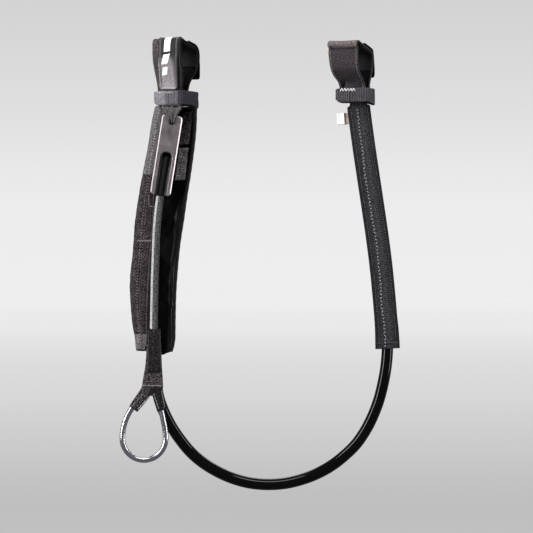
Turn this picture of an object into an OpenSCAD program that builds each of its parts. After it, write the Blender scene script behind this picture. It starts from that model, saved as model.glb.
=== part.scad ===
// Adjustable harness line for a windsurfing boom: two boom belts, a sleeved fixed end,
// a rope in a smooth tube, and a clam cleat with a pull handle under a fabric cover.
// +X runs along the boom, +Y points away from the sailor, +Z is up.
// The origin is the centre of the adjuster belt's boom bore.

/* [Boom belts] */
// Radius of the boom that the belts wrap
boom_r = 14.5; // [13:0.5:16]
// Width of the belt webbing
belt_w = 29; // [26:1:30]
// Thickness of the grip liner inside each belt
liner_t = 1.2; // [0.8:0.1:1.2]
// Thickness of the belt webbing
belt_t = 1.8; // [1.4:0.1:1.8]
// Turn of both belts about the vertical
belt_yaw = 25; // [20:1:28]
// Height of the elastic keepers
keeper_h = 13; // [10:0.5:13]

/* [Line] */
// Outside diameter of the tube
tube_d = 10.4; // [9:0.2:10.4]
// Wall of the tube
tube_wall = 1.8; // [1.4:0.1:1.8]
// Diameter of the rope inside the tube
rope_d = 6; // [5:0.2:6.2]
// Diameter of the sheathed tail
tail_d = 7; // [6:0.2:7]
// Width of the sleeve at the fixed end
sleeve_w = 20.8; // [18:0.2:22]
// Depth of the sleeve at the fixed end
sleeve_d = 13.4; // [13:0.2:14]

/* [Cleat] */
// Width of the cleat
cleat_w = 18.4; // [17:0.2:19]
// Lean of the cleat away from the vertical
cleat_lean = 9; // [7:0.5:9.5]
// Depth of the cleat from front to back
cleat_d = 10.2; // [9.8:0.2:11]
// Distance between the teeth of the cleat
tooth_pitch = 2.4; // [2:0.2:3]

/* [Pull handle] */
// Diameter of the ring's wire
wire_d = 5; // [4:0.5:5]
// Bend radius of the ring's round end, at the wire's centre
ring_r = 19.4; // [18:0.2:20]
// Thickness of the webbing legs that hold the ring
leg_t = 6.4; // [6:0.2:7]

/* [Hidden] */
$fn = 64;

slack = 0.1;            // air between two layers of one body
gap = 0.3;              // air between two bodies

fixed_at = [158, 0, -3.6];          // centre of the fixed belt's bore
belt_in = boom_r + liner_t + slack;
belt_r = belt_in + belt_t;          // outside of the belt webbing
loop_r = belt_r + slack + 0.4;      // outside of the loop patch
limb_t = 2.2;                       // webbing of the limbs under the ring
adjuster_tab_end = -19.8;           // lower edges of the closing tabs
fixed_tab_end = -14.6;
tab_top = 75;                       // angle at which the closing tabs hinge
keeper_t = 1.6;
keeper_round = 4;

// adjuster belt: neck between the keeper and the hanger, in the belt's own axes
front_knee = [-11.9, -22];          // bend of the front limb
neck_front = -10;
neck_back = 3.2;
neck_low = -43.8;
swivel = [-3, -3];                  // vertical axis of the adjuster belt's twist
stub_r = 3.4;
stub_top = -33;

// fixed belt: neck that takes the rope's end, in the belt's own axes
fixed_neck = [5.4, 2.5];
fixed_neck_d = 9.6;
fixed_neck_low = -37.4;

// depth of the pieces, front to back
rope_y = -14.2;                     // rope in the cleat, tail, handle and ring
turn_r = 4.2;                       // the rope's turn through the cleat
back_rope_y = rope_y + 2 * turn_r;
cleat_y = [-19.2, -19.2 + cleat_d]; // front and back of the cleat
eye = [-3.4, -59.2];                // centre of the cleat's eye
cleat_top = 6;
cleat_low = -66;
slot_w = 10.6;
slot_top = -27;
turn_z = slot_top - turn_r - rope_d / 2 - 0.8;

seam_z = -297.4;                    // fold between the handle and the ring's legs
handle_top = -244.2;

// The tube, from inside the cover, round the U and up into the sleeve
tube_route = [
    [-17, 0, -148], [-19.5, 0, -172], [-21.2, 0, -198], [-22, 0, -224], [-21.8, 0, -250],
    [-20.6, 0, -270], [-18.6, 0, -290], [-15.6, 0, -306], [-11, 0, -319], [-4.5, 0, -332],
    [3.5, 0, -344], [13, 0, -355.5], [24, 0, -365], [37, 0, -373], [51, 0, -379.2],
    [66, 0, -383.3], [82, 0, -384.8], [98, 0, -383.8], [113, 0, -380.3], [127, 0, -375],
    [140, 0, -367.8], [152, 0, -358.5], [162.5, 0, -348], [171, 0, -335.5], [177.5, 0, -322.5],
    [182.6, 0, -309], [186.2, 0, -295], [188.8, 0, -281], [190.2, 0, -267], [190.4, 0, -254],
    [189.6, 0, -240]];

// The sheathed tail, from the cleat to the handle
tail_route = [
    [-13.9, rope_y, -125.6], [-15, rope_y, -135], [-16.3, rope_y, -147], [-17.2, rope_y, -160],
    [-17.8, rope_y, -175], [-18.4, rope_y, -192], [-18.9, rope_y, -210], [-19.3, rope_y, -227],
    [-19.5, rope_y, -244]];

// Centre line of the sleeve, with its half width and its cavity's radius at each point
sleeve_route = [
    [164.3, 0, -43.2], [166, 0, -57], [169.7, 0, -84], [173.6, 0, -110], [177.5, 0, -136],
    [181.3, 0, -162], [184.6, 0, -188], [187.2, 0, -214], [188.9, 0, -234], [189.9, 0, -246],
    [190.5, 0, -260.4]];
// The rope carries on from the tube at both ends
rope_start = [[-13.1, back_rope_y, -120.5], [-13.8, -5.4, -126], [-15, -3.4, -134], [-16, -1.4, -141]];
rope_end = concat([for (i = [7:-1:1]) sleeve_route[i]], [[164.2, 0, -42], [164, 0, -32]]);

function sleeve_half(i) = sleeve_w / 2 + (i < 9 ? 0 : (i - 8) * 0.35);
function cavity_r(i) = i < 8 ? rope_d / 2 + 0.5 : tube_d / 2 + 0.4;

// The cover: height, middle, half width and inner edge of its front flap
cover_middle = [[-44.8, 0.1], [-62, -2], [-80, -4.3], [-105, -8.3], [-125, -11.8], [-145, -14.6],
    [-172, -17.8], [-206, -20.5], [-234, -20.2], [-254, -18.9], [-264, -19.5]];
cover_half = [[-44.8, 17.4], [-62, 19], [-80, 19.7], [-105, 20.3], [-125, 20.6], [-145, 20.6],
    [-172, 19.8], [-206, 19.6], [-234, 18.4], [-254, 16.7], [-264, 15]];
cover_edge = [[-44.8, -0.58], [-62, -0.5], [-80, -0.42], [-105, -0.38], [-125, -0.34],
    [-145, -0.22], [-172, -0.18], [-206, -0.18], [-234, -0.28], [-254, -0.42], [-264, -0.58]];
cover_levels = [for (row = cover_middle) row[0]];
shell_t = 1.8;

// ---- points and sweeps ----

function unit(v) = v / norm(v);
function heading(route, i) = unit(route[min(i + 1, len(route) - 1)] - route[max(i - 1, 0)]);
function loop_heading(route, i) =
    unit(route[(i + 1) % len(route)] - route[(i + len(route) - 1) % len(route)]);
function bent(x, power) = sign(x) * pow(abs(x), power);

// One ring of n points around a place, w across and d deep, square to the way along
function hoop(place, along, w, d, n, power = 1) =
    let (across = unit(cross([0, 1, 0], along)), deep = cross(along, across))
    [for (k = [0:n - 1])
        place + w * bent(cos(360 * k / n), power) * across + d * bent(sin(360 * k / n), power) * deep];
function ring_at(route, i, w, d, n, power = 1) = hoop(route[i], heading(route, i), w, d, n, power);

function wall_faces(n, first, second) =
    [for (k = [0:n - 1]) let (next = (k + 1) % n)
        each [[first + k, second + k, second + next], [first + k, second + next, first + next]]];
function turned(face) = [for (i = [len(face) - 1:-1:0]) face[i]];

// A closed body through rings that all have n points
module skin(rings) {
    n = len(rings[0]);
    count = len(rings);
    polyhedron(
        points = [for (r = rings) each r],
        faces = concat(
            [for (i = [0:count - 2]) each wall_faces(n, i * n, (i + 1) * n)],
            [[for (k = [0:n - 1]) k]],
            [[for (k = [n - 1:-1:0]) (count - 1) * n + k]]),
        convexity = 6);
}

// A round body along a closed route
module round_loop(route, d, n = 12) {
    count = len(route);
    polyhedron(
        points = [for (i = [0:count - 1]) each hoop(route[i], loop_heading(route, i), d / 2, d / 2, n)],
        faces = [for (i = [0:count - 1]) each wall_faces(n, i * n, ((i + 1) % count) * n)],
        convexity = 6);
}

// A body with a channel through it: the outer rings and the inner rings match
module hollow_skin(outer, inner) {
    n = len(outer[0]);
    count = len(outer);
    base = n * count;
    polyhedron(
        points = concat([for (r = outer) each r], [for (r = inner) each r]),
        faces = concat(
            [for (i = [0:count - 2]) each wall_faces(n, i * n, (i + 1) * n)],
            [for (i = [0:count - 2]) for (f = wall_faces(n, base + i * n, base + (i + 1) * n)) turned(f)],
            [for (f = wall_faces(n, base, 0)) f],
            [for (f = wall_faces(n, (count - 1) * n, base + (count - 1) * n)) f]),
        convexity = 6);
}

module round_rope(route, d, n = 10)
    skin([for (i = [0:len(route) - 1]) ring_at(route, i, d / 2, d / 2, n)]);

// ---- flat shapes ----

// The way out from a ring of radius r, where a straight limb from the ring's lower front to a point leaves it
function limb_side(point, r) =
    let (turn = 180 + atan2(-point[1], -point[0]) - acos(r / norm(point))) [cos(turn), sin(turn)];

module rounded(x0, x1, y0, y1, r) {
    translate([x0 + r, y0]) square([x1 - x0 - 2 * r, y1 - y0]);
    translate([x0, y0 + r]) square([x1 - x0, y1 - y0 - 2 * r]);
    for (x = [x0 + r, x1 - r], y = [y0 + r, y1 - r]) translate([x, y]) circle(r);
}

module band(r0, r1) {
    difference() {
        circle(r1);
        circle(r0);
    }
}

// Draws a flat shape of depth and height, and gives it a width along the bore
module across(w) rotate([90, 0, 90]) linear_extrude(w, center = true) children();

// Draws a flat shape seen from the front, from depth y0 to depth y1
module facing(y0, y1) translate([0, y1, 0]) rotate([90, 0, 0]) linear_extrude(y1 - y0) children();

module at_adjuster_belt() rotate([0, 0, -belt_yaw]) children();
module at_fixed_belt() translate(fixed_at) rotate([0, 0, -belt_yaw]) children();
module in_cleat() translate([eye[0], 0, eye[1]]) rotate([0, cleat_lean, 0]) children();

// ---- boom belts ----

module liner() across(belt_w - 2) band(boom_r, boom_r + liner_t);

module loop_patch() across(belt_w - 4) intersection() {
    band(belt_r + slack, loop_r);
    polygon([[0, 0], [5, 30], [30, 30], [30, -16]]);
}

// The tab lies on the back of the ring and hangs straight down to its lower edge
module tab_layer(inside, outside, low) {
    intersection() {
        band(inside, outside);
        polygon([[0, 0], [40 * cos(tab_top), 40 * sin(tab_top)], [40, 40], [40, 0]]);
    }
    translate([inside, low]) square([outside - inside, -low]);
}
module closing_tab(low) across(belt_w) tab_layer(loop_r + gap + 0.6, loop_r + gap + 1.8, low);
module tab_hook(low) across(belt_w - 5) tab_layer(loop_r + gap, loop_r + gap + 0.5, low + 3);

module keeper(a0, a1, b0, b1, z0) translate([0, 0, z0]) linear_extrude(keeper_h) difference() {
    rounded(a0, a1, b0, b1, keeper_round);
    rounded(a0 + keeper_t, a1 - keeper_t, b0 + keeper_t, b1 - keeper_t, keeper_round - keeper_t);
}

// Front of the adjuster belt's webbing, moved out by o
module front_outline(o) {
    side = limb_side(front_knee, belt_r);
    circle(belt_r + o);
    polygon([[0, 0], (belt_r + o) * side, front_knee + o * side, [-10.3 - o, -29.4], [-9.7 - o, -32], [0, -32]]);
}
// Outer layer on the front of the adjuster belt, from o0 to o1 above its webbing
module front_layer(o0, o1) intersection() {
    difference() {
        front_outline(o1);
        front_outline(o0);
    }
    polygon([[-40, -29.4], [-5, -29.4], [0, 0], [-4, 40], [-40, 40]]);
}

// Front view of the label panel, tapered, with its lower corners cut
module label_outline(inset) {
    low = -29.4 + inset;
    polygon([[-8 + inset, 30], [-8 + inset, 0], [-10.6 + inset, low + 2.4], [-8.6 + inset, low],
        [5.4 - inset, low], [7.4 - inset, low + 2.4], [12.6 - inset, 4], [12.6 - inset, 30]]);
}

module adjuster_belt() {
    taper = [[-belt_w / 2, 30], [belt_w / 2, 30], [belt_w / 2, -12], [11.5, -30], [11.5, -50],
        [-13.4, -50], [-13.4, -30], [-belt_w / 2, -12]];
    side = limb_side(front_knee, belt_r);
    color([0.17, 0.15, 0.15]) at_adjuster_belt() difference() {
        union() {
            intersection() {
                across(belt_w) difference() {
                    union() {
                        circle(belt_r);
                        polygon([(belt_r - 0.5) * side, belt_r * side, front_knee, [neck_front, -31],
                            [neck_front, neck_low], [neck_front + limb_t, neck_low],
                            [neck_front + limb_t, -30.5], [-9.8, -21]]);
                        polygon([[12.4, -12.4], [neck_back, -21.5], [neck_back, neck_low],
                            [neck_back - limb_t, neck_low], [neck_back - limb_t, -20.5], [11.2, -11.2]]);
                    }
                    circle(belt_in);
                }
                facing(-40, 40) polygon(taper);
            }
            translate([-9.5, neck_front + limb_t - 0.5, neck_low])
                cube([16, neck_back - neck_front - 2 * limb_t + 1, 14]);
        }
        rotate([0, 0, belt_yaw]) translate([swivel[0], swivel[1], neck_low - 1])
            cylinder(h = stub_top + gap + 0.3 - neck_low + 1, r = stub_r + gap);
    }
}
module adjuster_liner() color([0.1, 0.1, 0.11]) at_adjuster_belt() liner();
module adjuster_loop_patch() color([0.2, 0.18, 0.18]) at_adjuster_belt() loop_patch();
module adjuster_label() color([0.2, 0.2, 0.21]) at_adjuster_belt() intersection() {
    across(belt_w) front_layer(slack, 1);
    facing(-40, 0) label_outline(0);
}
module adjuster_label_stitch() color([0.45, 0.43, 0.44]) at_adjuster_belt() intersection() {
    across(belt_w) front_layer(1.02, 1.3);
    facing(-40, 0) difference() {
        label_outline(1.2);
        label_outline(1.8);
    }
}
module adjuster_tab() color([0.08, 0.08, 0.08]) at_adjuster_belt() closing_tab(adjuster_tab_end);
module adjuster_tab_hook() color([0.15, 0.14, 0.14]) at_adjuster_belt() tab_hook(adjuster_tab_end);
module adjuster_keeper() color([0.27, 0.27, 0.31]) at_adjuster_belt()
    keeper(-16.3, 16.3, -15, 16, -30.8 - keeper_h);

module fixed_belt() {
    front = fixed_neck[1] - fixed_neck_d / 2;
    back = fixed_neck[1] + fixed_neck_d / 2;
    taper = [[-belt_w / 2, 30], [belt_w / 2, 30], [belt_w / 2, -10], [15.6, -24], [15.6, -50],
        [-8.6, -50], [-8.6, -24], [-belt_w / 2, -12]];
    color([0.2, 0.18, 0.17]) at_fixed_belt() difference() {
        union() {
            intersection() {
                across(belt_w) difference() {
                    union() {
                        circle(belt_r);
                        polygon([[-14.6, -10.4], [front, -24.5], [front, fixed_neck_low],
                            [front + limb_t, fixed_neck_low], [front + limb_t, -23.5], [-12.6, -10.6]]);
                        polygon([[15.4, -9], [back, -21], [back, fixed_neck_low],
                            [back - limb_t, fixed_neck_low], [back - limb_t, -20], [13.4, -8]]);
                    }
                    circle(belt_in);
                }
                facing(-40, 40) polygon(taper);
            }
            translate([fixed_neck[0] - 8.5, front + 1, fixed_neck_low]) cube([17, fixed_neck_d - 2, 14]);
        }
        translate([fixed_neck[0], fixed_neck[1], fixed_neck_low - 1]) cylinder(h = 12, r = rope_d / 2 + 0.4);
    }
}
module fixed_liner() color([0.42, 0.33, 0.24]) at_fixed_belt() liner();
module fixed_loop_patch() color([0.2, 0.18, 0.18]) at_fixed_belt() loop_patch();
module fixed_tab() color([0.08, 0.08, 0.08]) at_fixed_belt() closing_tab(fixed_tab_end);
module fixed_tab_hook() color([0.15, 0.14, 0.14]) at_fixed_belt() tab_hook(fixed_tab_end);
module fixed_keeper() color([0.22, 0.22, 0.25]) at_fixed_belt() keeper(-13, 19.5, -9.5, 11.5, fixed_neck_low);
module fixed_keeper_stitch() color([0.8, 0.8, 0.8]) at_fixed_belt()
    for (k = [0:7]) translate([-8 + 3.2 * k, -9.8, fixed_neck_low + keeper_h - 1.6])
        rotate([0, k % 2 == 0 ? 40 : -40, 0]) cube([2.4, 0.4, 0.6], center = true);

// ---- hanger and cleat ----

module hanger() {
    low = -48;
    color([0.18, 0.16, 0.16]) {
        translate([swivel[0], swivel[1], low]) cylinder(h = stub_top - low, r = stub_r);
        translate([-8.5, cleat_y[1] - 0.5, low]) cube([14, 10.5, -44.3 - low]);
        translate([-12, cleat_y[0] - 1.6, low]) cube([17.5, cleat_d + 1.6, -44.3 - low]);
        facing(cleat_y[0] - 1.6, cleat_y[0] - 0.1) polygon([[-12, low + 0.5], [5.5, low + 0.5], [5.5, -50],
            [-0.2, -62], [-6.6, -62], [-12, -50]]);
        facing(cleat_y[1] + 0.1, cleat_y[1] + 1.6) polygon([[-8.5, low + 0.5], [4, low + 0.5], [3, -52],
            [-0.6, -62], [-6.2, -62], [-8.5, -52]]);
        translate([eye[0], cleat_y[1] + 1, eye[1]]) rotate([90, 0, 0]) cylinder(h = cleat_d + 2, r = 2.6);
    }
}

// Front view of the slot: round at the top, open at the bottom
module slot_outline(grow) {
    r = slot_w / 2 + grow;
    translate([0, slot_top - slot_w / 2]) circle(r);
    translate([-r, cleat_low - 5]) square([2 * r, slot_top - slot_w / 2 - cleat_low + 5]);
}
module rope_window(top) translate([-3.4, cleat_y[0], turn_z + 0.6]) cube([6.8, cleat_d + 1, top - turn_z - 0.6]);

module cleat_body() {
    chamfer = 0.9;
    floor_y = cleat_y[1] - 1.5;
    color([0.36, 0.35, 0.36]) in_cleat() difference() {
        hull() {
            facing(cleat_y[0] + chamfer, cleat_y[1]) rounded(-cleat_w / 2, cleat_w / 2, cleat_low, cleat_top, 3);
            facing(cleat_y[0], cleat_y[1]) rounded(-cleat_w / 2 + chamfer, cleat_w / 2 - chamfer,
                cleat_low + chamfer, cleat_top - chamfer, 2.4);
        }
        facing(cleat_y[0] - 1, floor_y) slot_outline(0);
        facing(cleat_y[0] - 1, cleat_y[0] + 0.5) slot_outline(0.6);
        rope_window(slot_top - 0.4);
        translate([0, cleat_y[1] + 1, 0]) rotate([90, 0, 0]) cylinder(h = cleat_d + 2, r = 2.9);
    }
}

// Hard black lining of the slot, with a row of teeth on each side that bite the rope
module cleat_jaws() {
    wall = 0.9;
    floor_y = cleat_y[1] - 1.5;
    tooth_tip = rope_d / 2 + 0.15;
    tooth_rows = 10;
    root = slot_w / 2 - wall;
    color([0.05, 0.05, 0.06]) in_cleat() difference() {
        union() {
            difference() {
                facing(cleat_y[0] + 0.8, floor_y - 0.05) slot_outline(-0.1);
                facing(cleat_y[0] - 1, floor_y - 0.45) slot_outline(-wall);
            }
            for (side = [-1, 1], k = [0:tooth_rows - 1])
                facing(cleat_y[0] + 1.2, floor_y - 0.4)
                    polygon([[side * (root + 0.2), cleat_low + 1.2 + tooth_pitch * k],
                        [side * tooth_tip, cleat_low + 1.2 + tooth_pitch * k],
                        [side * (root + 0.2), cleat_low + 1 + tooth_pitch * (k + 1)]]);
        }
        facing(cleat_y[0] - 1, cleat_y[1] + 1) translate([-slot_w, cleat_low - 10]) square([2 * slot_w, 10.2]);
        rope_window(slot_top + 1);
    }
}

// The rope comes up behind the cleat, turns through its window and runs down between the teeth
module cleat_rope() {
    back_low = -62;
    color([0.12, 0.12, 0.12]) in_cleat() {
        translate([0, back_rope_y, back_low]) cylinder(h = turn_z - back_low, d = rope_d);
        translate([0, rope_y, cleat_low - 0.8]) cylinder(h = turn_z - cleat_low + 0.8, d = rope_d);
        translate([0, rope_y + turn_r, turn_z]) rotate([90, 0, 90])
            rotate_extrude(angle = 180) translate([turn_r, 0]) circle(d = rope_d);
    }
}

// ---- cover ----

function cover_x(z) = lookup(z, cover_middle);
function cover_w(z) = lookup(z, cover_half);
function cover_e(z) = lookup(z, cover_edge);
function cover_place(z, list) = [for (p = list) [cover_x(z) + p[0] * cover_w(z), p[1]]];

// The cover's section, from the flap's inner edge round the back to the right edge
function flap_part(z) = [[cover_e(z), -6.6], [(cover_e(z) - 0.85) / 2, -6.7], [-0.85, -6.2]];
wall_part = [[-0.98, -3], [-1, 1.5], [-0.9, 5.2], [-0.62, 7.8], [0, 8.9], [0.42, 8.2], [0.72, 6],
    [0.9, 3], [1, -0.6]];
lining_part = [[-0.62, 7.8], [0, 8.9], [0.42, 8.2], [0.72, 6], [0.9, 3], [0.99, 0]];
patch_part = [[0.45, 8], [0.72, 6], [0.88, 3.4]];

function side_of(list, i) =
    let (t = unit(list[min(i + 1, len(list) - 1)] - list[max(i - 1, 0)])) [t[1], -t[0]];
function moved(list, by) = [for (i = [0:len(list) - 1]) list[i] + by * side_of(list, i)];

// A layer of cloth: a line across the cover at each level, from by0 to by1 off that line
module layer(levels, line_at, by0, by1)
    skin([for (z = levels)
        let (line = line_at(z))
        [for (p = concat(moved(line, by1), turned(moved(line, by0)))) [p[0], p[1], z]]]);

// One panel of the shell, from one point of the section to another
module shell_panel(from, to) color([0.13, 0.12, 0.12])
    skin([for (z = cover_levels)
        let (
            line = cover_place(z, concat(flap_part(z), wall_part)),
            outside = moved(line, shell_t / 2),
            inside = moved(line, -shell_t / 2),
            outline = concat([for (i = [from:to]) outside[i]], [for (i = [to:-1:from]) inside[i]]))
        [for (p = outline) [p[0], p[1], z]]]);
module cover_flap() shell_panel(0, 3);
module cover_wall() shell_panel(3, 6);
module cover_back() shell_panel(6, 9);
module cover_side() shell_panel(9, 11);
module cover_strip() color([0.23, 0.2, 0.2])
    layer([-107, -125, -145, -172, -206, -234, -254, -262.6], function(z) cover_place(z, flap_part(z)),
        -shell_t / 2 - 1, -shell_t / 2 - slack);
module cover_top_strap() color([0.3, 0.28, 0.28])
    layer([-45, -62, -80, -105], function(z) cover_place(z, flap_part(z)), -shell_t / 2 - 1, -shell_t / 2 - slack);
module cover_lining() color([0.03, 0.03, 0.03])
    layer(cover_levels, function(z) cover_place(z, lining_part), shell_t / 2 + slack, shell_t / 2 + 0.9);
module cover_patch_upper() color([0.3, 0.28, 0.28])
    layer([-50, -62, -79], function(z) cover_place(z, patch_part), shell_t / 2 + 1, shell_t / 2 + 1.8);
module cover_patch_lower() color([0.27, 0.25, 0.26])
    layer([-83, -95, -110], function(z) cover_place(z, patch_part), shell_t / 2 + 1, shell_t / 2 + 1.8);
module cover_rim() {
    rim_r = 1.6;
    route = [for (z = cover_levels) [cover_x(z) + cover_w(z) + 0.1, -0.6 - slack - rim_r, z]];
    color([0.1, 0.1, 0.1]) round_rope(route, 2 * rim_r, 8);
}
module cover_bartack() color([0.4, 0.38, 0.38]) facing(-9.1, -8.7) translate([-33, -165.5]) square([9, 1.6]);

// ---- tube, ropes and sleeve ----

module tube() {
    inner = tube_d / 2 - tube_wall;
    color([0.02, 0.02, 0.02]) hollow_skin(
        [for (i = [0:len(tube_route) - 1]) ring_at(tube_route, i, tube_d / 2, tube_d / 2, 12)],
        [for (i = [0:len(tube_route) - 1]) ring_at(tube_route, i, inner, inner, 12)]);
}
module line_rope() color([0.35, 0.34, 0.33]) round_rope(concat(rope_start, tube_route, rope_end), rope_d);
module tail_rope() color([0.55, 0.55, 0.55]) round_rope(tail_route, tail_d);

module sleeve() {
    stops = len(sleeve_route) - 1;
    color([0.17, 0.17, 0.19]) hollow_skin(
        [for (i = [0:stops]) ring_at(sleeve_route, i, sleeve_half(i), sleeve_d / 2, 20, 0.7)],
        [for (i = [0:stops]) ring_at(sleeve_route, i, cavity_r(i), cavity_r(i), 20)]);
}
module sleeve_hem() {
    hem_route = [[189.9, 0, -260.8], [190, 0, -262.6]];
    color([0.12, 0.12, 0.13]) hollow_skin(
        [for (i = [0:1]) ring_at(hem_route, i, sleeve_half(10), sleeve_d / 2, 20, 0.7)],
        [for (i = [0:1]) ring_at(hem_route, i, cavity_r(10), cavity_r(10), 20)]);
}

// Zigzag seam down the front of the sleeve
module sleeve_stitch() {
    pitch = 5;
    seam_offset = -2.4;
    rows = [for (p = sleeve_route) [p[2], p[0]]];
    color([0.5, 0.5, 0.52]) for (k = [0:41]) {
        z = -49 - pitch * k;
        translate([lookup(z, rows) + seam_offset, -sleeve_d / 2 - 0.35, z])
            rotate([0, k % 2 == 0 ? 35 : -35, 0]) cube([0.7, 0.5, 4.4], center = true);
    }
}
module label_base() color([0.45, 0.33, 0.2]) facing(-0.6, 0.6) polygon([[151.5, -51.5], [154.6, -51.8], [155.2, -60], [151.5, -60]]);
module label_flag() color([0.92, 0.92, 0.9]) facing(-0.4, 0.4) translate([144.7, -60.8]) square([6.7, 10]);

// ---- pull handle ----

module handle_stem() color([0.24, 0.22, 0.22]) facing(-12.4, -10.4)
    polygon([[-26.6, -258], [-12.8, -256], [-12.2, -279], [-11.2, seam_z + gap], [-30, seam_z + gap], [-27.4, -279]]);
module handle_sleeve() color([0.27, 0.25, 0.25]) facing(-17.6, -12.5)
    polygon([[-25, handle_top], [-13, handle_top], [-12.6, -283], [-25.4, -283]]);
module handle_seam() color([0.4, 0.38, 0.38]) facing(-14, -12.5)
    polygon([[-29.6, -292], [-11.6, -292], [-11.3, -296.6], [-29.8, -296.6]]);

// The ring's wire: a round end, two shoulders, two straight sides and a small bend inside the legs
left_lean = 34.6;
right_lean = 12;
left_shoulder_r = 46.5;
right_shoulder_r = 60;
top_bend_r = 9.5;
ring_mid = [-28.3, -342.6];
left_foot = ring_mid + [-ring_r + left_shoulder_r * (1 - cos(left_lean)), left_shoulder_r * sin(left_lean)];
right_foot = ring_mid + [ring_r - right_shoulder_r * (1 - cos(right_lean)), right_shoulder_r * sin(right_lean)];
left_way = [sin(left_lean), cos(left_lean)];
right_way = [-sin(right_lean), cos(right_lean)];
function crossed(a, b) = a[0] * b[1] - a[1] * b[0];
left_reach = crossed(right_foot - left_foot, right_way) / crossed(left_way, right_way);
right_reach = crossed(right_foot - left_foot, left_way) / crossed(left_way, right_way);
bend_cut = top_bend_r / tan((left_lean + right_lean) / 2);
left_end = left_foot + (left_reach - bend_cut) * left_way;
right_end = right_foot + (right_reach - bend_cut) * right_way;
bend_mid = right_end - top_bend_r * [cos(right_lean), sin(right_lean)];

function arc(mid, r, from, to, steps) =
    [for (i = [0:steps]) let (turn = from + (to - from) * i / steps)
        [mid[0] + r * cos(turn), rope_y, mid[1] + r * sin(turn)]];
function but_last(list) = [for (i = [0:len(list) - 2]) list[i]];
wire_route = concat(
    arc(ring_mid + [ring_r - right_shoulder_r, 0], right_shoulder_r, 0, right_lean, 2),
    arc(bend_mid, top_bend_r, right_lean, 180 - left_lean, 8),
    but_last(arc(ring_mid + [left_shoulder_r - ring_r, 0], left_shoulder_r, 180 - left_lean, 180, 6)),
    but_last(arc(ring_mid, ring_r, 180, 360, 20)));
module pull_ring() color([0.62, 0.62, 0.64]) round_loop(wire_route, wire_d);

module leg(outline) color([0.25, 0.23, 0.23]) difference() {
    facing(rope_y - leg_t / 2, rope_y + leg_t / 2) polygon(outline);
    round_loop(wire_route, wire_d + 2 * slack);
}
module left_leg() leg([[-30, seam_z - 0.1], [-21.6, seam_z - 0.1], [-21.6, -304.2], [-33.3, -319], [-41.6, -314.4]]);
module right_leg() leg([[-21.4, seam_z - 0.1], [-11, seam_z - 0.1], [-7.6, -316.6], [-16, -318], [-21.4, -304.2]]);

// ---- which sub-part to draw ----

adjuster_belt();
adjuster_liner();
adjuster_loop_patch();
adjuster_label();
adjuster_label_stitch();
adjuster_tab();
adjuster_tab_hook();
adjuster_keeper();
hanger();
cleat_body();
cleat_jaws();
cleat_rope();
cover_flap();
cover_wall();
cover_back();
cover_side();
cover_strip();
cover_top_strap();
cover_lining();
cover_rim();
cover_patch_upper();
cover_patch_lower();
cover_bartack();
tube();
line_rope();
tail_rope();
handle_stem();
handle_sleeve();
handle_seam();
left_leg();
right_leg();
pull_ring();
sleeve();
sleeve_hem();
sleeve_stitch();
label_base();
label_flag();
fixed_belt();
fixed_liner();
fixed_loop_patch();
fixed_tab();
fixed_tab_hook();
fixed_keeper();
fixed_keeper_stitch();
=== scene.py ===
"""Looks of the adjustable harness line: two webbing boom belts, a sleeved end, a glossy tube,
a clam cleat under an open cover, and a pull handle. Lengths are in millimetres up to mesh making."""

import math

import bmesh
import bpy
import numpy as np
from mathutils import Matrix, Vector


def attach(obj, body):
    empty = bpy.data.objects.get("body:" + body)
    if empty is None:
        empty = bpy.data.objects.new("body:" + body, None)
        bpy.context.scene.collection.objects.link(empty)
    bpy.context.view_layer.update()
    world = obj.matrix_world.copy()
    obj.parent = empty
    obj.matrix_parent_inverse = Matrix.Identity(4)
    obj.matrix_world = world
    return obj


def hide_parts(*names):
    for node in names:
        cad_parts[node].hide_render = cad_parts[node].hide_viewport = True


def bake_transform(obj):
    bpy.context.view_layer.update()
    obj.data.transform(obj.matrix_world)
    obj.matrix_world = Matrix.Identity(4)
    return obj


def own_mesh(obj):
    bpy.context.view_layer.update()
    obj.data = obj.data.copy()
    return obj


MM = 0.001
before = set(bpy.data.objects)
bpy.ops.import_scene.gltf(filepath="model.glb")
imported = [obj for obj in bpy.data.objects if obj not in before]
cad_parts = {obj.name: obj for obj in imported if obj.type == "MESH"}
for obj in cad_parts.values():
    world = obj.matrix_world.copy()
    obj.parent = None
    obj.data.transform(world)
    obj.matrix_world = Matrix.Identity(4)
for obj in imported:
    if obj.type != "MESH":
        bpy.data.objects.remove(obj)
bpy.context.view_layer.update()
bpy.context.scene.view_settings.view_transform = "Standard"

# ---------------------------------------------------------------- camera and lights

MIDDLE = (81.5, -188.5)  # x and z that the camera looks at
CAMERA_AWAY = 3.0  # metres
LENS, SENSOR = 225.0, 36.0  # millimetres
FARTHEST = 60  # metres
CENTRE = (0.08, 0, -0.19)  # what the lights point at, in metres

camera = bpy.data.objects.new("camera", bpy.data.cameras.new("camera"))
camera.data.lens = LENS
camera.data.sensor_width = SENSOR
camera.location = (MIDDLE[0] * MM, -CAMERA_AWAY, MIDDLE[1] * MM)
camera.rotation_euler = (math.radians(90), 0, 0)
camera.data.clip_end = FARTHEST
bpy.context.scene.collection.objects.link(camera)
bpy.context.scene.camera = camera


def area_light(name, place, size, power):
    data = bpy.data.lights.new(name, "AREA")
    data.shape = "RECTANGLE"
    data.size, data.size_y = size
    data.energy = power
    lamp = bpy.data.objects.new(name, data)
    lamp.location = place
    lamp.rotation_euler = (Vector(CENTRE) - Vector(place)).to_track_quat("-Z", "Y").to_euler()
    bpy.context.scene.collection.objects.link(lamp)


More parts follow.
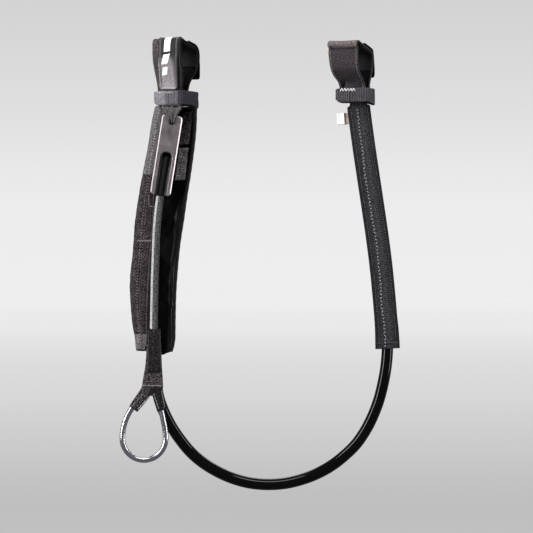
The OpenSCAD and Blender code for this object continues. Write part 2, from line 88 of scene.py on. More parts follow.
area_light("key_left", (-1.3, -0.75, 0.35), (0.35, 1.5), 52)
area_light("fill_right", (1.4, -0.35, 0.1), (0.25, 1.3), 20)
area_light("front_top", (0.1, -1.1, 1.7), (1.4, 0.6), 44)
area_light("back_rim", (0.3, 1.4, 0.9), (1.6, 0.6), 14)

# ---------------------------------------------------------------- node helpers


def new_material(name, rough=0.6, metallic=0.0, colour=(0.1, 0.1, 0.1), **sockets):
    m = bpy.data.materials.new(name)
    m.use_nodes = True
    shader = m.node_tree.nodes["Principled BSDF"]
    shader.inputs["Base Color"].default_value = (*colour, 1)
    shader.inputs["Roughness"].default_value = rough
    shader.inputs["Metallic"].default_value = metallic
    for key, value in sockets.items():
        shader.inputs[key.replace("_", " ")].default_value = value
    return m, Tree(m.node_tree, shader)


class Tree:
    """Short words for the nodes of one material."""

    def __init__(self, tree, shader=None):
        self.tree, self.shader = tree, shader

    def node(self, kind, **settings):
        n = self.tree.nodes.new(kind)
        for key, value in settings.items():
            setattr(n, key, value)
        return n

    def link(self, out, into):
        self.tree.links.new(out, into)
        return out

    def value(self, source, into):
        if isinstance(source, (int, float)):
            into.default_value = source
        else:
            self.link(source, into)

    def maths(self, operation, a, b=0.0):
        n = self.node("ShaderNodeMath", operation=operation)
        self.value(a, n.inputs[0])
        self.value(b, n.inputs[1])
        return n.outputs[0]

    def spot(self, uv=True):
        n = self.node("ShaderNodeTexCoord")
        return n.outputs["UV" if uv else "Object"]

    def split(self, vector):
        n = self.node("ShaderNodeSeparateXYZ")
        self.link(vector, n.inputs[0])
        return n.outputs

    def noise(self, vector, scale, detail=3.0, rough=0.6):
        n = self.node("ShaderNodeTexNoise")
        self.link(vector, n.inputs["Vector"])
        n.inputs["Scale"].default_value = scale
        n.inputs["Detail"].default_value = detail
        n.inputs["Roughness"].default_value = rough
        return n.outputs["Fac"]

    def stretched(self, vector, x, y, z=1.0):
        n = self.node("ShaderNodeMapping")
        self.link(vector, n.inputs["Vector"])
        n.inputs["Scale"].default_value = (x, y, z)
        return n.outputs[0]

    def ramp(self, factor, stops):
        n = self.node("ShaderNodeValToRGB")
        self.link(factor, n.inputs[0])
        while len(n.color_ramp.elements) < len(stops):
            n.color_ramp.elements.new(0.5)
        for e, (at, colour) in zip(n.color_ramp.elements, stops):
            e.position = at
            e.color = (*colour, 1) if isinstance(colour, tuple) else (colour, colour, colour, 1)
        return n.outputs["Color"]

    def mix(self, factor, a, b):
        n = self.node("ShaderNodeMix", data_type="RGBA")
        self.value(factor, n.inputs[0])
        for source, socket in ((a, n.inputs[6]), (b, n.inputs[7])):
            if isinstance(source, tuple):
                socket.default_value = (*source, 1)
            else:
                self.link(source, socket)
        return n.outputs[2]

    def rise(self, factor, low, high):
        """0 below low, 1 above high."""
        return self.ramp(factor, [(low, 0.0), (high, 1.0)])

    def fall(self, factor, low, high):
        """1 below low, 0 above high."""
        return self.ramp(factor, [(low, 1.0), (high, 0.0)])

    def tint(self, shade, mask, share, colour):
        """The shade with this share of a colour where the mask is 1."""
        return self.mix(self.maths("MULTIPLY", mask, share), shade, colour)

    def colour(self, shade):
        self.link(shade, self.shader.inputs["Base Color"])

    def rough(self, factor):
        self.link(factor, self.shader.inputs["Roughness"])

    def bump(self, height, distance):
        n = self.node("ShaderNodeBump")
        self.link(height, n.inputs["Height"])
        n.inputs["Strength"].default_value = 1.0
        n.inputs["Distance"].default_value = distance
        self.link(n.outputs[0], self.shader.inputs["Normal"])

    def weave(self, uv, across, along):
        """Height of a plain weave whose threads are this far apart, in metres."""
        u, v, _ = self.split(uv)
        pu, pv = self.maths("DIVIDE", u, across), self.maths("DIVIDE", v, along)
        over = self.maths(
            "MODULO", self.maths("ADD", self.maths("FLOOR", pu), self.maths("FLOOR", pv)), 2.0
        )
        over = self.maths("ABSOLUTE", over)
        hu = self.maths("ABSOLUTE", self.maths("SINE", self.maths("MULTIPLY", pu, math.pi)))
        hv = self.maths("ABSOLUTE", self.maths("SINE", self.maths("MULTIPLY", pv, math.pi)))
        n = self.node("ShaderNodeMix", data_type="FLOAT")
        self.value(over, n.inputs[0])
        self.link(hu, n.inputs[2])
        self.link(hv, n.inputs[3])
        return n.outputs[0]

    def ribs(self, coordinate, pitch):
        return self.maths(
            "ABSOLUTE",
            self.maths("SINE", self.maths("MULTIPLY", coordinate, math.pi / pitch)),
        )


def shaded(colour, by):
    return tuple(min(1.0, c * by) for c in colour)


def woven(
    name, dark, light, across=0.0009, along=0.0007, rough=0.85, wear=0.3, mottle=260, grain=620, punch=0.5,
):
    """Webbing: a plain weave, uneven threads a millimetre or two long, broad fading and pale worn specks."""
    m, t = new_material(name, rough, colour=dark, Specular_IOR_Level=0.1)
    uv, place = t.spot(), t.spot(False)
    height = t.weave(uv, across, along)
    fine, broad = t.noise(place, 1900, 2), t.noise(place, mottle, 4, 0.7)
    threads = t.noise(t.stretched(uv, grain * 0.8, grain * 1.7), 1.0, 2, 0.8)
    patchy = t.rise(threads, 0.34 + 0.1 * punch, 0.66 - 0.1 * punch)
    shade = t.mix(broad, dark, light)
    gap = t.mix(0.5 + 0.4 * punch, shade, shaded(dark, 0.2))
    thread = t.mix(0.3 + 0.4 * punch, shade, shaded(light, 1.7))
    shade = t.mix(patchy, gap, thread)
    shade = t.tint(shade, t.maths("SUBTRACT", 1.0, height), 0.6, shaded(dark, 0.2))
    shade = t.tint(shade, t.maths("GREATER_THAN", t.noise(place, 900, 2), 0.64), wear, shaded(light, 3.0))
    t.colour(shade)
    t.rough(t.ramp(broad, [(0.3, rough - 0.1), (0.7, min(1, rough + 0.12))]))
    t.bump(t.maths("ADD", t.maths("ADD", height, patchy), t.maths("MULTIPLY", fine, 0.7)), 0.0003)
    return m


def fuzzy(name, dark, light, scale=620, dots=0.5, chevron=0.0):
    """Hook or loop pile: small dark cells between pale hairs."""
    m, t = new_material(name, 0.95, colour=dark, Specular_IOR_Level=0.05)
    place = t.spot(False)
    cells = t.node("ShaderNodeTexVoronoi", feature="F1")
    t.link(place, cells.inputs["Vector"])
    cells.inputs["Scale"].default_value = scale
    loops = cells.outputs["Distance"]
    hair = t.noise(place, scale * 1.3, 3, 0.75)
    patch = t.noise(place, 150, 4, 0.7)
    shade = t.mix(t.rise(patch, 0.35, 0.65), dark, light)
    shade = t.tint(shade, t.rise(hair, 0.48, 0.62), dots, shaded(light, 2.2))
    shade = t.tint(shade, t.rise(loops, 0.2, 0.75), 0.85, shaded(dark, 0.2))
    if chevron:
        u, v, _ = t.split(t.spot())
        slant = t.maths("ADD", v, t.maths("ABSOLUTE", t.maths("SUBTRACT", u, 0.0062)))
        ribs = t.fall(t.ribs(slant, chevron), 0.25, 0.7)
        shade = t.tint(shade, ribs, 0.85, shaded(dark, 0.2))
    t.colour(shade)
    t.bump(t.maths("SUBTRACT", hair, loops), 0.0007)
    return m


def plain_cloth(name, dark, light, rough=0.85, grain=1400, depth=0.0002):
    m, t = new_material(name, rough, colour=dark, Specular_IOR_Level=0.12)
    place = t.spot(False)
    fine, broad = t.noise(place, grain, 4, 0.7), t.noise(place, 90, 4)
    shade = t.mix(broad, dark, light)
    t.colour(t.mix(t.maths("MULTIPLY", t.maths("GREATER_THAN", fine, 0.6), 0.35), shade, shaded(light, 1.9)))
    t.rough(t.ramp(broad, [(0.3, rough - 0.12), (0.7, min(1, rough + 0.1))]))
    t.bump(fine, depth)
    return m


def smooth_black(name, colour, rough, coat=0.0, streak=0.0, wrinkle=0.0, gloss=0.5):
    m, t = new_material(
        name, rough, colour=colour, Specular_IOR_Level=gloss, Coat_Weight=coat, Coat_Roughness=0.06
    )
    place = t.spot(False)
    dust = t.noise(place, 700, 5, 0.7)
    broad = t.noise(place, 60, 3)
    t.colour(
        t.mix(
            t.maths("MULTIPLY", t.maths("GREATER_THAN", dust, 0.63), 0.25), colour,
            tuple(c + 0.03 for c in colour),
        )
    )
    t.rough(t.ramp(broad, [(0.3, max(0.02, rough * 0.8)), (0.75, rough * 1.35 + streak)]))
    if wrinkle:
        t.bump(t.maths("ADD", t.noise(place, 150, 4), t.maths("MULTIPLY", dust, 0.15)), wrinkle)
    return m


MAT = {}
# Webbing and rope: name, dark colour, light colour, settings
for name, first, second, settings in (
    ("webbing", (0.04, 0.0335, 0.0375), (0.115, 0.098, 0.108), dict(punch=0.9)),
    ("webbing_mid", (0.04, 0.033, 0.038), (0.068, 0.056, 0.063), dict(wear=0.15)),
    # webbing_dark: the webbing darkened as painted shade, for the adjuster belt's side away from the light
    ("webbing_dark", (0.006, 0.0057, 0.0065), (0.02, 0.0185, 0.0205), dict(wear=0.3, punch=0.9)),
    # webbing_light: paler webbing, painted light on the fixed belt's top roll
    ("webbing_light", (0.11, 0.092, 0.091), (0.185, 0.155, 0.153), dict()),
    ("back_webbing", (0.006, 0.0055, 0.0065), (0.016, 0.0145, 0.0165), dict(wear=0.12)),
    ("hanger", (0.06, 0.054, 0.057), (0.14, 0.127, 0.132), dict()),
    ("strap", (0.09, 0.078, 0.082), (0.19, 0.168, 0.174), dict(across=0.0011, along=0.0008, mottle=180)),
    (
        "strap_light", (0.062, 0.057, 0.061), (0.16, 0.15, 0.157),
        dict(across=0.0011, along=0.0009, wear=0.25, mottle=200),
    ),
    (
        "stem", (0.018, 0.0145, 0.016), (0.085, 0.07, 0.075),
        dict(across=0.0011, along=0.0008, wear=0.45, mottle=300, punch=1.0, grain=480),
    ),
    (
        "handle_cloth", (0.004, 0.0034, 0.0037), (0.025, 0.02, 0.022),
        dict(across=0.0012, along=0.0008, wear=0.5, mottle=330, punch=1.0, grain=480),
    ),
    (
        "leg", (0.014, 0.0125, 0.0135), (0.064, 0.057, 0.061),
        dict(across=0.0011, along=0.0009, wear=0.5, mottle=320, punch=1.0, grain=480),
    ),
    (
        "leg_dark", (0.005, 0.0045, 0.005), (0.02, 0.018, 0.0195),
        dict(across=0.0011, along=0.0009, wear=0.4, mottle=320, punch=1.0, grain=480),
    ),
    (
        "rope", (0.005, 0.005, 0.0055), (0.014, 0.0135, 0.014),
        dict(across=0.0011, along=0.0009, rough=0.55, wear=0.12),
    ),
    ("tail_core", (0.03, 0.03, 0.03), (0.15, 0.15, 0.148), dict(across=0.0007, along=0.0007, punch=0.9)),
    ("tail_cord", (0.42, 0.42, 0.41), (0.72, 0.72, 0.71), dict(across=0.0006, along=0.0005, mottle=500)),
    # tail_cord_dark: the tail's cord darkened as painted shade, on its side away from the light
    ("tail_cord_dark", (0.03, 0.03, 0.03), (0.12, 0.12, 0.12), dict(across=0.0006, along=0.0005, mottle=500)),
):
    MAT[name] = woven(name, first, second, **settings)
# Hook and loop pile: name, dark colour, light colour, settings
for name, first, second, settings in (
    ("loop_pile", (0.034, 0.028, 0.03), (0.09, 0.074, 0.08), dict(dots=0.35, chevron=0.0026)),
    ("hook_pile", (0.004, 0.004, 0.0045), (0.011, 0.01, 0.011), dict(scale=800, dots=0.3)),
    # the two patches' colours are lifted well above a dark pile's: painted light inside the cover's shaded
    # hollow
    ("patch_pile", (0.2, 0.177, 0.189), (0.56, 0.495, 0.53), dict(scale=700)),
    ("patch_dark", (0.066, 0.059, 0.063), (0.18, 0.16, 0.17), dict(scale=700)),
):
    MAT[name] = fuzzy(name, first, second, **settings)
# Plain cloth, thread and tape: name, dark colour, light colour, settings
for name, first, second, settings in (
    ("binding", (0.007, 0.0065, 0.007), (0.02, 0.0185, 0.02), dict()),
    ("back_cloth", (0.008, 0.0075, 0.008), (0.022, 0.02, 0.022), dict()),
    # sleeve_edge: near-black cloth for the sleeve's folded edges, painted shade where the cloth turns away
    # from the light
    ("sleeve_edge", (0.004, 0.004, 0.0045), (0.014, 0.0135, 0.015), dict()),
    ("liner_tan", (0.3, 0.21, 0.15), (0.55, 0.42, 0.33), dict()),
    ("liner_black", (0.004, 0.004, 0.0045), (0.012, 0.0115, 0.0125), dict()),
    ("thread_dark", (0.06, 0.054, 0.058), (0.12, 0.11, 0.116), dict(grain=2600, depth=0.0001)),
    ("thread_mid", (0.15, 0.135, 0.142), (0.27, 0.25, 0.26), dict(grain=2600, depth=0.0001)),
    ("thread_seam", (0.13, 0.12, 0.13), (0.34, 0.32, 0.34), dict(grain=2600, depth=0.0001)),
    ("thread_grey", (0.3, 0.28, 0.29), (0.48, 0.45, 0.47), dict(grain=2600, depth=0.0001)),
    ("thread_light", (0.45, 0.42, 0.44), (0.66, 0.63, 0.65), dict(grain=2600, depth=0.0001)),
    ("thread_white", (0.75, 0.73, 0.74), (0.95, 0.94, 0.95), dict(grain=2600, depth=0.0001)),
    ("tan_tape", (0.18, 0.138, 0.105), (0.36, 0.285, 0.225), dict()),
    ("white_label", (0.72, 0.72, 0.715), (0.8, 0.8, 0.8), dict()),
    ("white_print", (0.82, 0.82, 0.82), (0.92, 0.92, 0.92), dict(rough=0.5)),
):
    MAT[name] = plain_cloth(name, first, second, **settings)
# Glossy black: name, colour, roughness, settings
for name, first, second, settings in (
    ("lining", (0.0025, 0.0025, 0.0027), 0.28, dict(streak=0.1, wrinkle=0.0005, gloss=0.3)),
    ("tube", (0.0008, 0.0008, 0.0009), 0.08, dict(gloss=0.12)),
    ("jaw", (0.003, 0.003, 0.0034), 0.14, dict(coat=0.4)),
):
    MAT[name] = smooth_black(name, first, second, **settings)


def sleeve_cloth():
    """Ripstop: a fine weave with a thicker thread every few millimetres, and pale fuzz in the weave."""
    m, t = new_material("sleeve_cloth", 0.8, colour=(0.03, 0.03, 0.034), Specular_IOR_Level=0.12)
    uv, place = t.spot(), t.spot(False)
    u, v, _ = t.split(uv)
    height = t.weave(uv, 0.0009, 0.0009)
    thick = t.maths("MAXIMUM", t.rise(t.ribs(u, 0.0036), 0.9, 1.0), t.rise(t.ribs(v, 0.0018), 0.8, 1.0))
    broad = t.noise(place, 200, 5, 0.75)
    fine = t.noise(t.stretched(uv, 500, 1000), 1.0, 3, 0.8)
    shade = t.mix(t.rise(broad, 0.3, 0.7), (0.011, 0.0105, 0.013), (0.04, 0.038, 0.046))
    shade = t.tint(shade, thick, 0.3, (0.1, 0.096, 0.112))
    shade = t.tint(shade, t.rise(fine, 0.5, 0.66), 0.55, (0.11, 0.106, 0.122))
    # painted shade: the cloth darkens towards both folded edges, where it turns away from the light
    side = t.ramp(
        t.maths("ABSOLUTE", t.maths("SUBTRACT", t.maths("MODULO", t.maths("ADD", u, 0.02), 0.04), 0.02)),
        [(0.006, 0.0), (0.0084, 1.0)],
    )
    shade = t.tint(shade, side, 0.93, (0.004, 0.004, 0.005))
    shade = t.tint(shade, t.fall(fine, 0.34, 0.5), 0.7, (0.006, 0.006, 0.007))
    shade = t.tint(shade, t.maths("SUBTRACT", 1.0, height), 0.4, (0.006, 0.006, 0.007))
    t.colour(shade)
    t.rough(t.ramp(broad, [(0.3, 0.6), (0.7, 0.85)]))
    t.bump(t.maths("ADD", t.maths("ADD", height, thick), fine), 0.0004)
    return m


def elastic_cloth(name, dark, light, rib=0.00155):
    """Ribbed elastic: dark gaps between the ribs and a knitted surface."""
    m, t = new_material(name, 0.85, colour=dark, Specular_IOR_Level=0.1)
    uv, place = t.spot(), t.spot(False)
    ribs = t.ribs(t.split(uv)[1], rib)
    knit = t.noise(t.stretched(uv, 1500, 500), 1.0, 3, 0.8)
    broad = t.noise(place, 300, 4, 0.7)
    shade = t.mix(t.rise(broad, 0.35, 0.65), dark, light)
    shade = t.tint(shade, t.rise(knit, 0.45, 0.62), 0.6, shaded(light, 1.9))
    shade = t.tint(shade, t.fall(ribs, 0.15, 0.75), 0.75, shaded(dark, 0.25))
    t.colour(shade)
    t.bump(t.maths("ADD", ribs, t.maths("MULTIPLY", knit, 0.5)), 0.0004)
    return m


def brushed_metal(name, colour, rough, lines=0.05, low=0.75, high=1.2):
    m, t = new_material(name, rough, 1.0, colour)
    place = t.spot(False)
    grain = t.noise(t.stretched(place, 900, 900, 60), 1.0, 4, 0.7)
    broad = t.noise(place, 110, 4)
    t.colour(t.mix(broad, shaded(colour, low), shaded(colour, high)))
    t.rough(t.maths("ADD", t.maths("MULTIPLY", grain, lines * 2), rough - lines))
    t.bump(grain, 0.00003)
    return m


def panel_rubber():
    """Moulded panel: fine slanting ribs, paler towards its lower end, and darker along its right side as
    painted shade.
    """
    m, t = new_material("panel_rubber", 0.5, colour=(0.05, 0.05, 0.05), Specular_IOR_Level=0.15)
    uv, place = t.spot(), t.spot(False)
    u, v, _ = t.split(uv)
    slant = t.ribs(t.maths("ADD", u, v), 0.0011)
    broad, fine = t.noise(place, 150, 4), t.noise(place, 1800, 4)
    low = t.rise(t.maths("ADD", t.maths("MULTIPLY", v, 24.0), t.maths("MULTIPLY", broad, 0.25)), 0.8, 1.3)
    shade = t.mix(low, (0.02, 0.019, 0.0185), (0.3, 0.275, 0.29))
    # painted shade: the panel darkens along its right side, away from the light
    shade = t.mix(t.ramp(u, [(0.0058, 0.0), (0.0075, 0.85)]), shade, (0.012, 0.011, 0.012))
    shade = t.tint(shade, t.fall(slant, 0.2, 0.7), 0.4, (0.01, 0.01, 0.01))
    shade = t.tint(shade, t.fall(t.noise(place, 700, 3), 0.35, 0.5), 0.6, (0.01, 0.01, 0.01))
    t.colour(shade)
    t.rough(t.ramp(broad, [(0.3, 0.45), (0.7, 0.6)]))
    t.bump(t.maths("ADD", slant, t.maths("MULTIPLY", fine, 0.3)), 0.00015)
    return m


MAT["sleeve"] = sleeve_cloth()
# elastic, elastic_half_shade and elastic_shaded are one elastic, lit, in half shade and in shade: painted
# light and shade across the adjuster's keeper
MAT["elastic"] = elastic_cloth("elastic", (0.085, 0.078, 0.088), (0.19, 0.178, 0.198))
MAT["elastic_half_shade"] = elastic_cloth("elastic_half_shade", (0.05, 0.045, 0.052), (0.105, 0.096, 0.108))
MAT["elastic_shaded"] = elastic_cloth("elastic_shaded", (0.015, 0.0143, 0.0178), (0.034, 0.0315, 0.039))
MAT["elastic_mid"] = elastic_cloth("elastic_mid", (0.024, 0.0222, 0.0267), (0.06, 0.0555, 0.065), 0.0021)
MAT["anodised"] = brushed_metal("anodised", (0.25, 0.225, 0.23), 0.4, low=0.3, high=1.75)
# anodised_lit_edge: paler anodised for the cleat's slanted faces and bevels, a painted highlight on its edges
MAT["anodised_lit_edge"] = brushed_metal("anodised_lit_edge", (0.5, 0.455, 0.475), 0.42)
MAT["steel"] = brushed_metal("steel", (0.3, 0.292, 0.318), 0.22, 0.01)
MAT["panel"] = panel_rubber()

# ---------------------------------------------------------------- mesh helpers


def add_mesh(name, points, faces, materials, uvs=None, which=None, smooth=True):
    """points in millimetres; faces are lists of indices; uvs is one (u, v) per point, in metres."""
    mesh = bpy.data.meshes.new(name)
    mesh.from_pydata(
        [tuple(float(c) * MM for c in p) for p in points], [], [list(map(int, f)) for f in faces],
    )
    for m in materials:
        mesh.materials.append(MAT[m])
    if uvs is not None:
        layer = mesh.uv_layers.new(name="UVMap")
        flat = np.empty(len(mesh.loops) * 2, np.float32)
        index = np.empty(len(mesh.loops), np.int32)
        mesh.loops.foreach_get("vertex_index", index)
        uvs = np.asarray(uvs, np.float32)
        flat[0::2], flat[1::2] = uvs[index, 0], uvs[index, 1]
        layer.data.foreach_set("uv", flat)
    if which is not None:
        mesh.polygons.foreach_set("material_index", np.asarray(which, np.int32))
    mesh.polygons.foreach_set("use_smooth", [smooth] * len(mesh.polygons))
    mesh.validate()
    mesh.update()
    obj = bpy.data.objects.new(name, mesh)
    bpy.context.scene.collection.objects.link(obj)
    return obj


def unit(v):
    v = np.asarray(v, float)
    n = np.linalg.norm(v, axis=-1, keepdims=True)
    return v / np.maximum(n, 1e-9)


def smooth_path(points, step, closed=False):
    """Points about a step apart on a Catmull-Rom curve through the given ones."""
    p = np.asarray(points, float)
    n = len(p)
    out = []
    spans = n if closed else n - 1
    for i in range(spans):
        a = p[(i - 1) % n] if closed or i else 2 * p[0] - p[1]
        b, c = p[i], p[(i + 1) % n]
        d = p[(i + 2) % n] if closed or i + 2 < n else 2 * p[-1] - p[-2]
        m = max(1, int(round(np.linalg.norm(c - b) / step)))
        t = (np.arange(m) / m)[:, None]
        out.append(
            0.5 * (
                2 * b + (c - a) * t + (2 * a - 5 * b + 4 * c - d) * t**2 + (3 * b - a - 3 * c + d) * t**3
            )
        )
    if not closed:
        out.append(p[-1:])
    return np.concatenate(out)


def bent(x, power):
    """Powers below 1 turn a circle's sine and cosine into a rounded square's."""
    return np.sign(x) * np.abs(x) ** power


def sideways(line):
    """The way to the right of a flat line at each of its points."""
    t = unit(np.vstack([line[1:2] - line[:1], line[2:] - line[:-2], line[-1:] - line[-2:-1]]))
    return np.column_stack([t[:, 1], -t[:, 0]])


def along(path, closed=False):
    ahead = np.roll(path, -1, 0) if closed else np.vstack([path[1:], 2 * path[-1:] - path[-2:-1]])
    behind = np.roll(path, 1, 0) if closed else np.vstack([2 * path[:1] - path[1:2], path[:-1]])
    return unit(ahead - behind)


def lengths(path):
    return np.concatenate([[0], np.cumsum(np.linalg.norm(np.diff(path, axis=0), axis=1))])


def loft(name, rings, materials, which=None, uvs=None, closed=False):
    """A skin through rings of points; which(i, j) gives the material of the face after ring i, point j."""
    rings = np.asarray(rings, float)
    count, n = rings.shape[:2]
    faces, mats = [], []
    for i in range(count if closed else count - 1):
        k = (i + 1) % count
        for j in range(n):
            m = (j + 1) % n
            faces.append((i * n + j, i * n + m, k * n + m, k * n + j))
            mats.append(which(i, j) if which else 0)
    if not closed:
        faces.append(list(range(n))[::-1])
        faces.append([(count - 1) * n + j for j in range(n)])
        mats += [which(0, 0) if which else 0, which(count - 2, 0) if which else 0]
    return add_mesh(name, rings.reshape(-1, 3), faces, materials, uvs, mats)


def ring_frame(path, up=(0, 1, 0), closed=False):
    """Across and deep directions at each point: deep is as near to up as it can be."""
    t = along(path, closed)
    across = unit(np.cross(np.broadcast_to(np.asarray(up, float), t.shape), t))
    return across, np.cross(t, across)


def rings_round(path, r, a, up=(0, 1, 0), closed=False):
    """Rings of points round a path: r is their distance from it and a their angles."""
    across, deep = ring_frame(path, up, closed)
    way = np.cos(a)[None, :, None] * across[:, None] + np.sin(a)[None, :, None] * deep[:, None]
    return path[:, None] + r[..., None] * way


def round_tube(name, path, radius, material, sides=24, closed=False, shape=None, up=(0, 1, 0)):
    s = lengths(path)
    a = np.arange(sides) * 2 * math.pi / sides
    r = np.full((len(path), sides), float(radius))
    if shape is not None:
        r = r * shape(s[:, None], a[None, :])
    around = np.broadcast_to(a * np.mean(r), r.shape)
    uvs = np.stack([around, np.broadcast_to(s[:, None], r.shape)], -1).reshape(-1, 2) * MM
    return loft(name, rings_round(path, r, a, up, closed), [material], uvs=uvs, closed=closed)


EDGE_POINTS = 5  # points that round each edge of a strap


def strap(name, path, across, left, right, thick, material, columns=14, lift=None, closed=False, which=None):
    """Flat webbing: path is its middle line, across its sideways direction, left and right its edges."""
    path = np.asarray(path, float)
    n = len(path)
    across = unit(np.broadcast_to(np.asarray(across, float), (n, 3)))
    normal = np.cross(along(path, closed), across)
    left, right, thick = (np.broadcast_to(np.asarray(x, float), (n,)) for x in (left, right, thick))
    s = lengths(path)
    u = np.linspace(0, 1, columns)
    rings, uvs = [], []
    for i in range(n):
        w, h = right[i] - left[i], thick[i] / 2
        r = min(h, 0.45 * w)
        x = left[i] + r + u * (w - 2 * r)
        top = np.full(columns, h)
        if lift is not None:
            top = top + lift(x, s[i], left[i], right[i])
        ang = np.linspace(math.pi / 2, -math.pi / 2, EDGE_POINTS + 2)[1:-1]
        xr, zr = right[i] - r + r * np.cos(ang), h * np.sin(ang)
        xl, zl = left[i] + r - r * np.cos(ang[::-1]), h * np.sin(ang[::-1])
        xs = np.concatenate([x, xr, x[::-1], xl])
        zs = np.concatenate([top, zr, np.full(columns, -h), zl])
        rings.append(path[i] + xs[:, None] * across[i] + zs[:, None] * normal[i])
        uvs.append(np.stack([xs, np.full(len(xs), s[i])], -1))
    pick = (lambda i, j: which(i, j, columns)) if which else None
    return loft(
        name, rings, material if isinstance(material, list) else [material], which=pick,
        uvs=np.concatenate(uvs) * MM, closed=closed,
    )


def stitches(name, places, ways, normals, length, width, material, height=0.35):
    """Short threads lying on a surface, as one mesh."""
    points, faces = [], []
    shape = [(-1, 0.15), (-0.72, 0.8), (-0.3, 1), (0.3, 1), (0.72, 0.8), (1, 0.15)]
    sides = 6
    for p, w, n in zip(places, unit(ways), unit(normals)):
        c = np.cross(w, n)
        base = len(points)
        for t, k in shape:
            for q in range(sides):
                g = 2 * math.pi * q / sides
                points.append(
                    p + w * t * length / 2 + c * math.cos(g) * k * width / 2 + n * math.sin(g) * k * height
                )
        for i in range(len(shape) - 1):
            a, b = base + i * sides, base + (i + 1) * sides
            for q in range(sides):
                m = (q + 1) % sides
                faces.append((a + q, a + m, b + m, b + q))
        faces.append([base + q for q in range(sides)][::-1])
        faces.append([base + (len(shape) - 1) * sides + q for q in range(sides)])
    return add_mesh(name, points, faces, [material])


def stitch_line(name, path, normals, pitch, length, width, material, zigzag=0.0, height=0.35):
    """Stitches along a path: straight, or a zigzag whose legs lean to both sides."""
    s = lengths(path)
    at = np.arange(pitch / 2, s[-1], pitch)
    pos = np.stack([np.interp(at, s, path[:, k]) for k in range(3)], 1)
    nor = np.stack([np.interp(at, s, normals[:, k]) for k in range(3)], 1)
    t = along(path)
    way = np.stack([np.interp(at, s, t[:, k]) for k in range(3)], 1)
    if zigzag:
        c = np.cross(way, nor)
        way = way + zigzag * c * np.where(np.arange(len(at)) % 2, 1, -1)[:, None]
    return stitches(name, pos, way, nor, length, width, material, height)


def settle(piece, body, nodes):
    """Rides on a body and stands for CAD nodes."""
    if body:
        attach(piece, body)
    if nodes:
        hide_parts(*nodes)
    return piece


def sew(name, path, normals, pitch, length, width, thread, body, nodes=(), zigzag=0.0, height=0.35):
    """Stitches along a path that ride on a body and may stand for CAD nodes."""
    line = stitch_line(name, path, normals, pitch, length, width, thread, zigzag, height)
    settle(line, body, nodes)


# ---------------------------------------------------------------- cords: tube and tail

TUBE_D = 10.4
TAIL_D = 7.0
TUBE_ROUTE = [
    (-17, 0, -148), (-19.5, 0, -172), (-21.2, 0, -198), (-22, 0, -224), (-21.8, 0, -250),
    (-20.6, 0, -270), (-18.6, 0, -290), (-15.6, 0, -306), (-11, 0, -319), (-4.5, 0, -332),
    (3.5, 0, -344), (13, 0, -355.5), (24, 0, -365), (37, 0, -373), (51, 0, -379.2),
    (66, 0, -383.3), (82, 0, -384.8), (98, 0, -383.8), (113, 0, -380.3), (127, 0, -375),
    (140, 0, -367.8), (152, 0, -358.5), (162.5, 0, -348), (171, 0, -335.5), (177.5, 0, -322.5),
    (182.6, 0, -309), (186.2, 0, -295), (188.8, 0, -281), (190.2, 0, -267), (190.4, 0, -254),
    (189.6, 0, -240),
]
ROPE_Y = -14.2
TAIL_ROUTE = [
    (-13.9, ROPE_Y, -125.6), (-15, ROPE_Y, -135), (-16.3, ROPE_Y, -147), (-17.2, ROPE_Y, -160),
    (-17.8, ROPE_Y, -175), (-18.4, ROPE_Y, -192), (-18.9, ROPE_Y, -210), (-19.3, ROPE_Y, -227),
    (-19.5, ROPE_Y, -244),
]

tube_line = smooth_path(TUBE_ROUTE, 2.0)
tube = round_tube("line_tube", tube_line, TUBE_D / 2, "tube", 40)
settle(tube, "line", ["tube"])


def tail_shape(s, a):
    """A ribbed middle between two round cords."""
    side = np.exp(-((np.abs(np.cos(a)) - 1) ** 2) / 0.03)
    ribs = 0.5 + 0.5 * np.cos(2 * math.pi * s / 1.5 + 2.2 * np.cos(a))
    return 0.9 + 0.1 * side + 0.05 * ribs * (1 - side)


tail_line = smooth_path(TAIL_ROUTE + [(-19.5, ROPE_Y, -250)], 0.25)
LEFTWARDS = -1 if ring_frame(tail_line)[0][0][0] > 0 else 1


def tail_piece():
    sides = 28
    s = lengths(tail_line)
    a = np.arange(sides) * 2 * math.pi / sides
    r = TAIL_D / 2 * tail_shape(s[:, None], a[None, :])
    rings = rings_round(tail_line, r, a)
    around = np.broadcast_to(a * TAIL_D / 2, r.shape)
    uvs = np.stack([around, np.broadcast_to(s[:, None], r.shape)], -1).reshape(-1, 2) * MM
    # the cord on the left is pale; the one on the right is the same cord darkened as painted shade
    mid = np.cos(a + math.pi / sides) * LEFTWARDS
    kind = np.where(mid > 0.42, 1, np.where(mid < -0.6, 2, 0))
    return loft(
        "tail_cord", rings, ["tail_core", "tail_cord", "tail_cord_dark"], which=lambda i, j: int(kind[j]),
        uvs=uvs,
    )


tail = tail_piece()
settle(tail, "line", ["tail_rope"])
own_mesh(tail)

# ---------------------------------------------------------------- world and floor


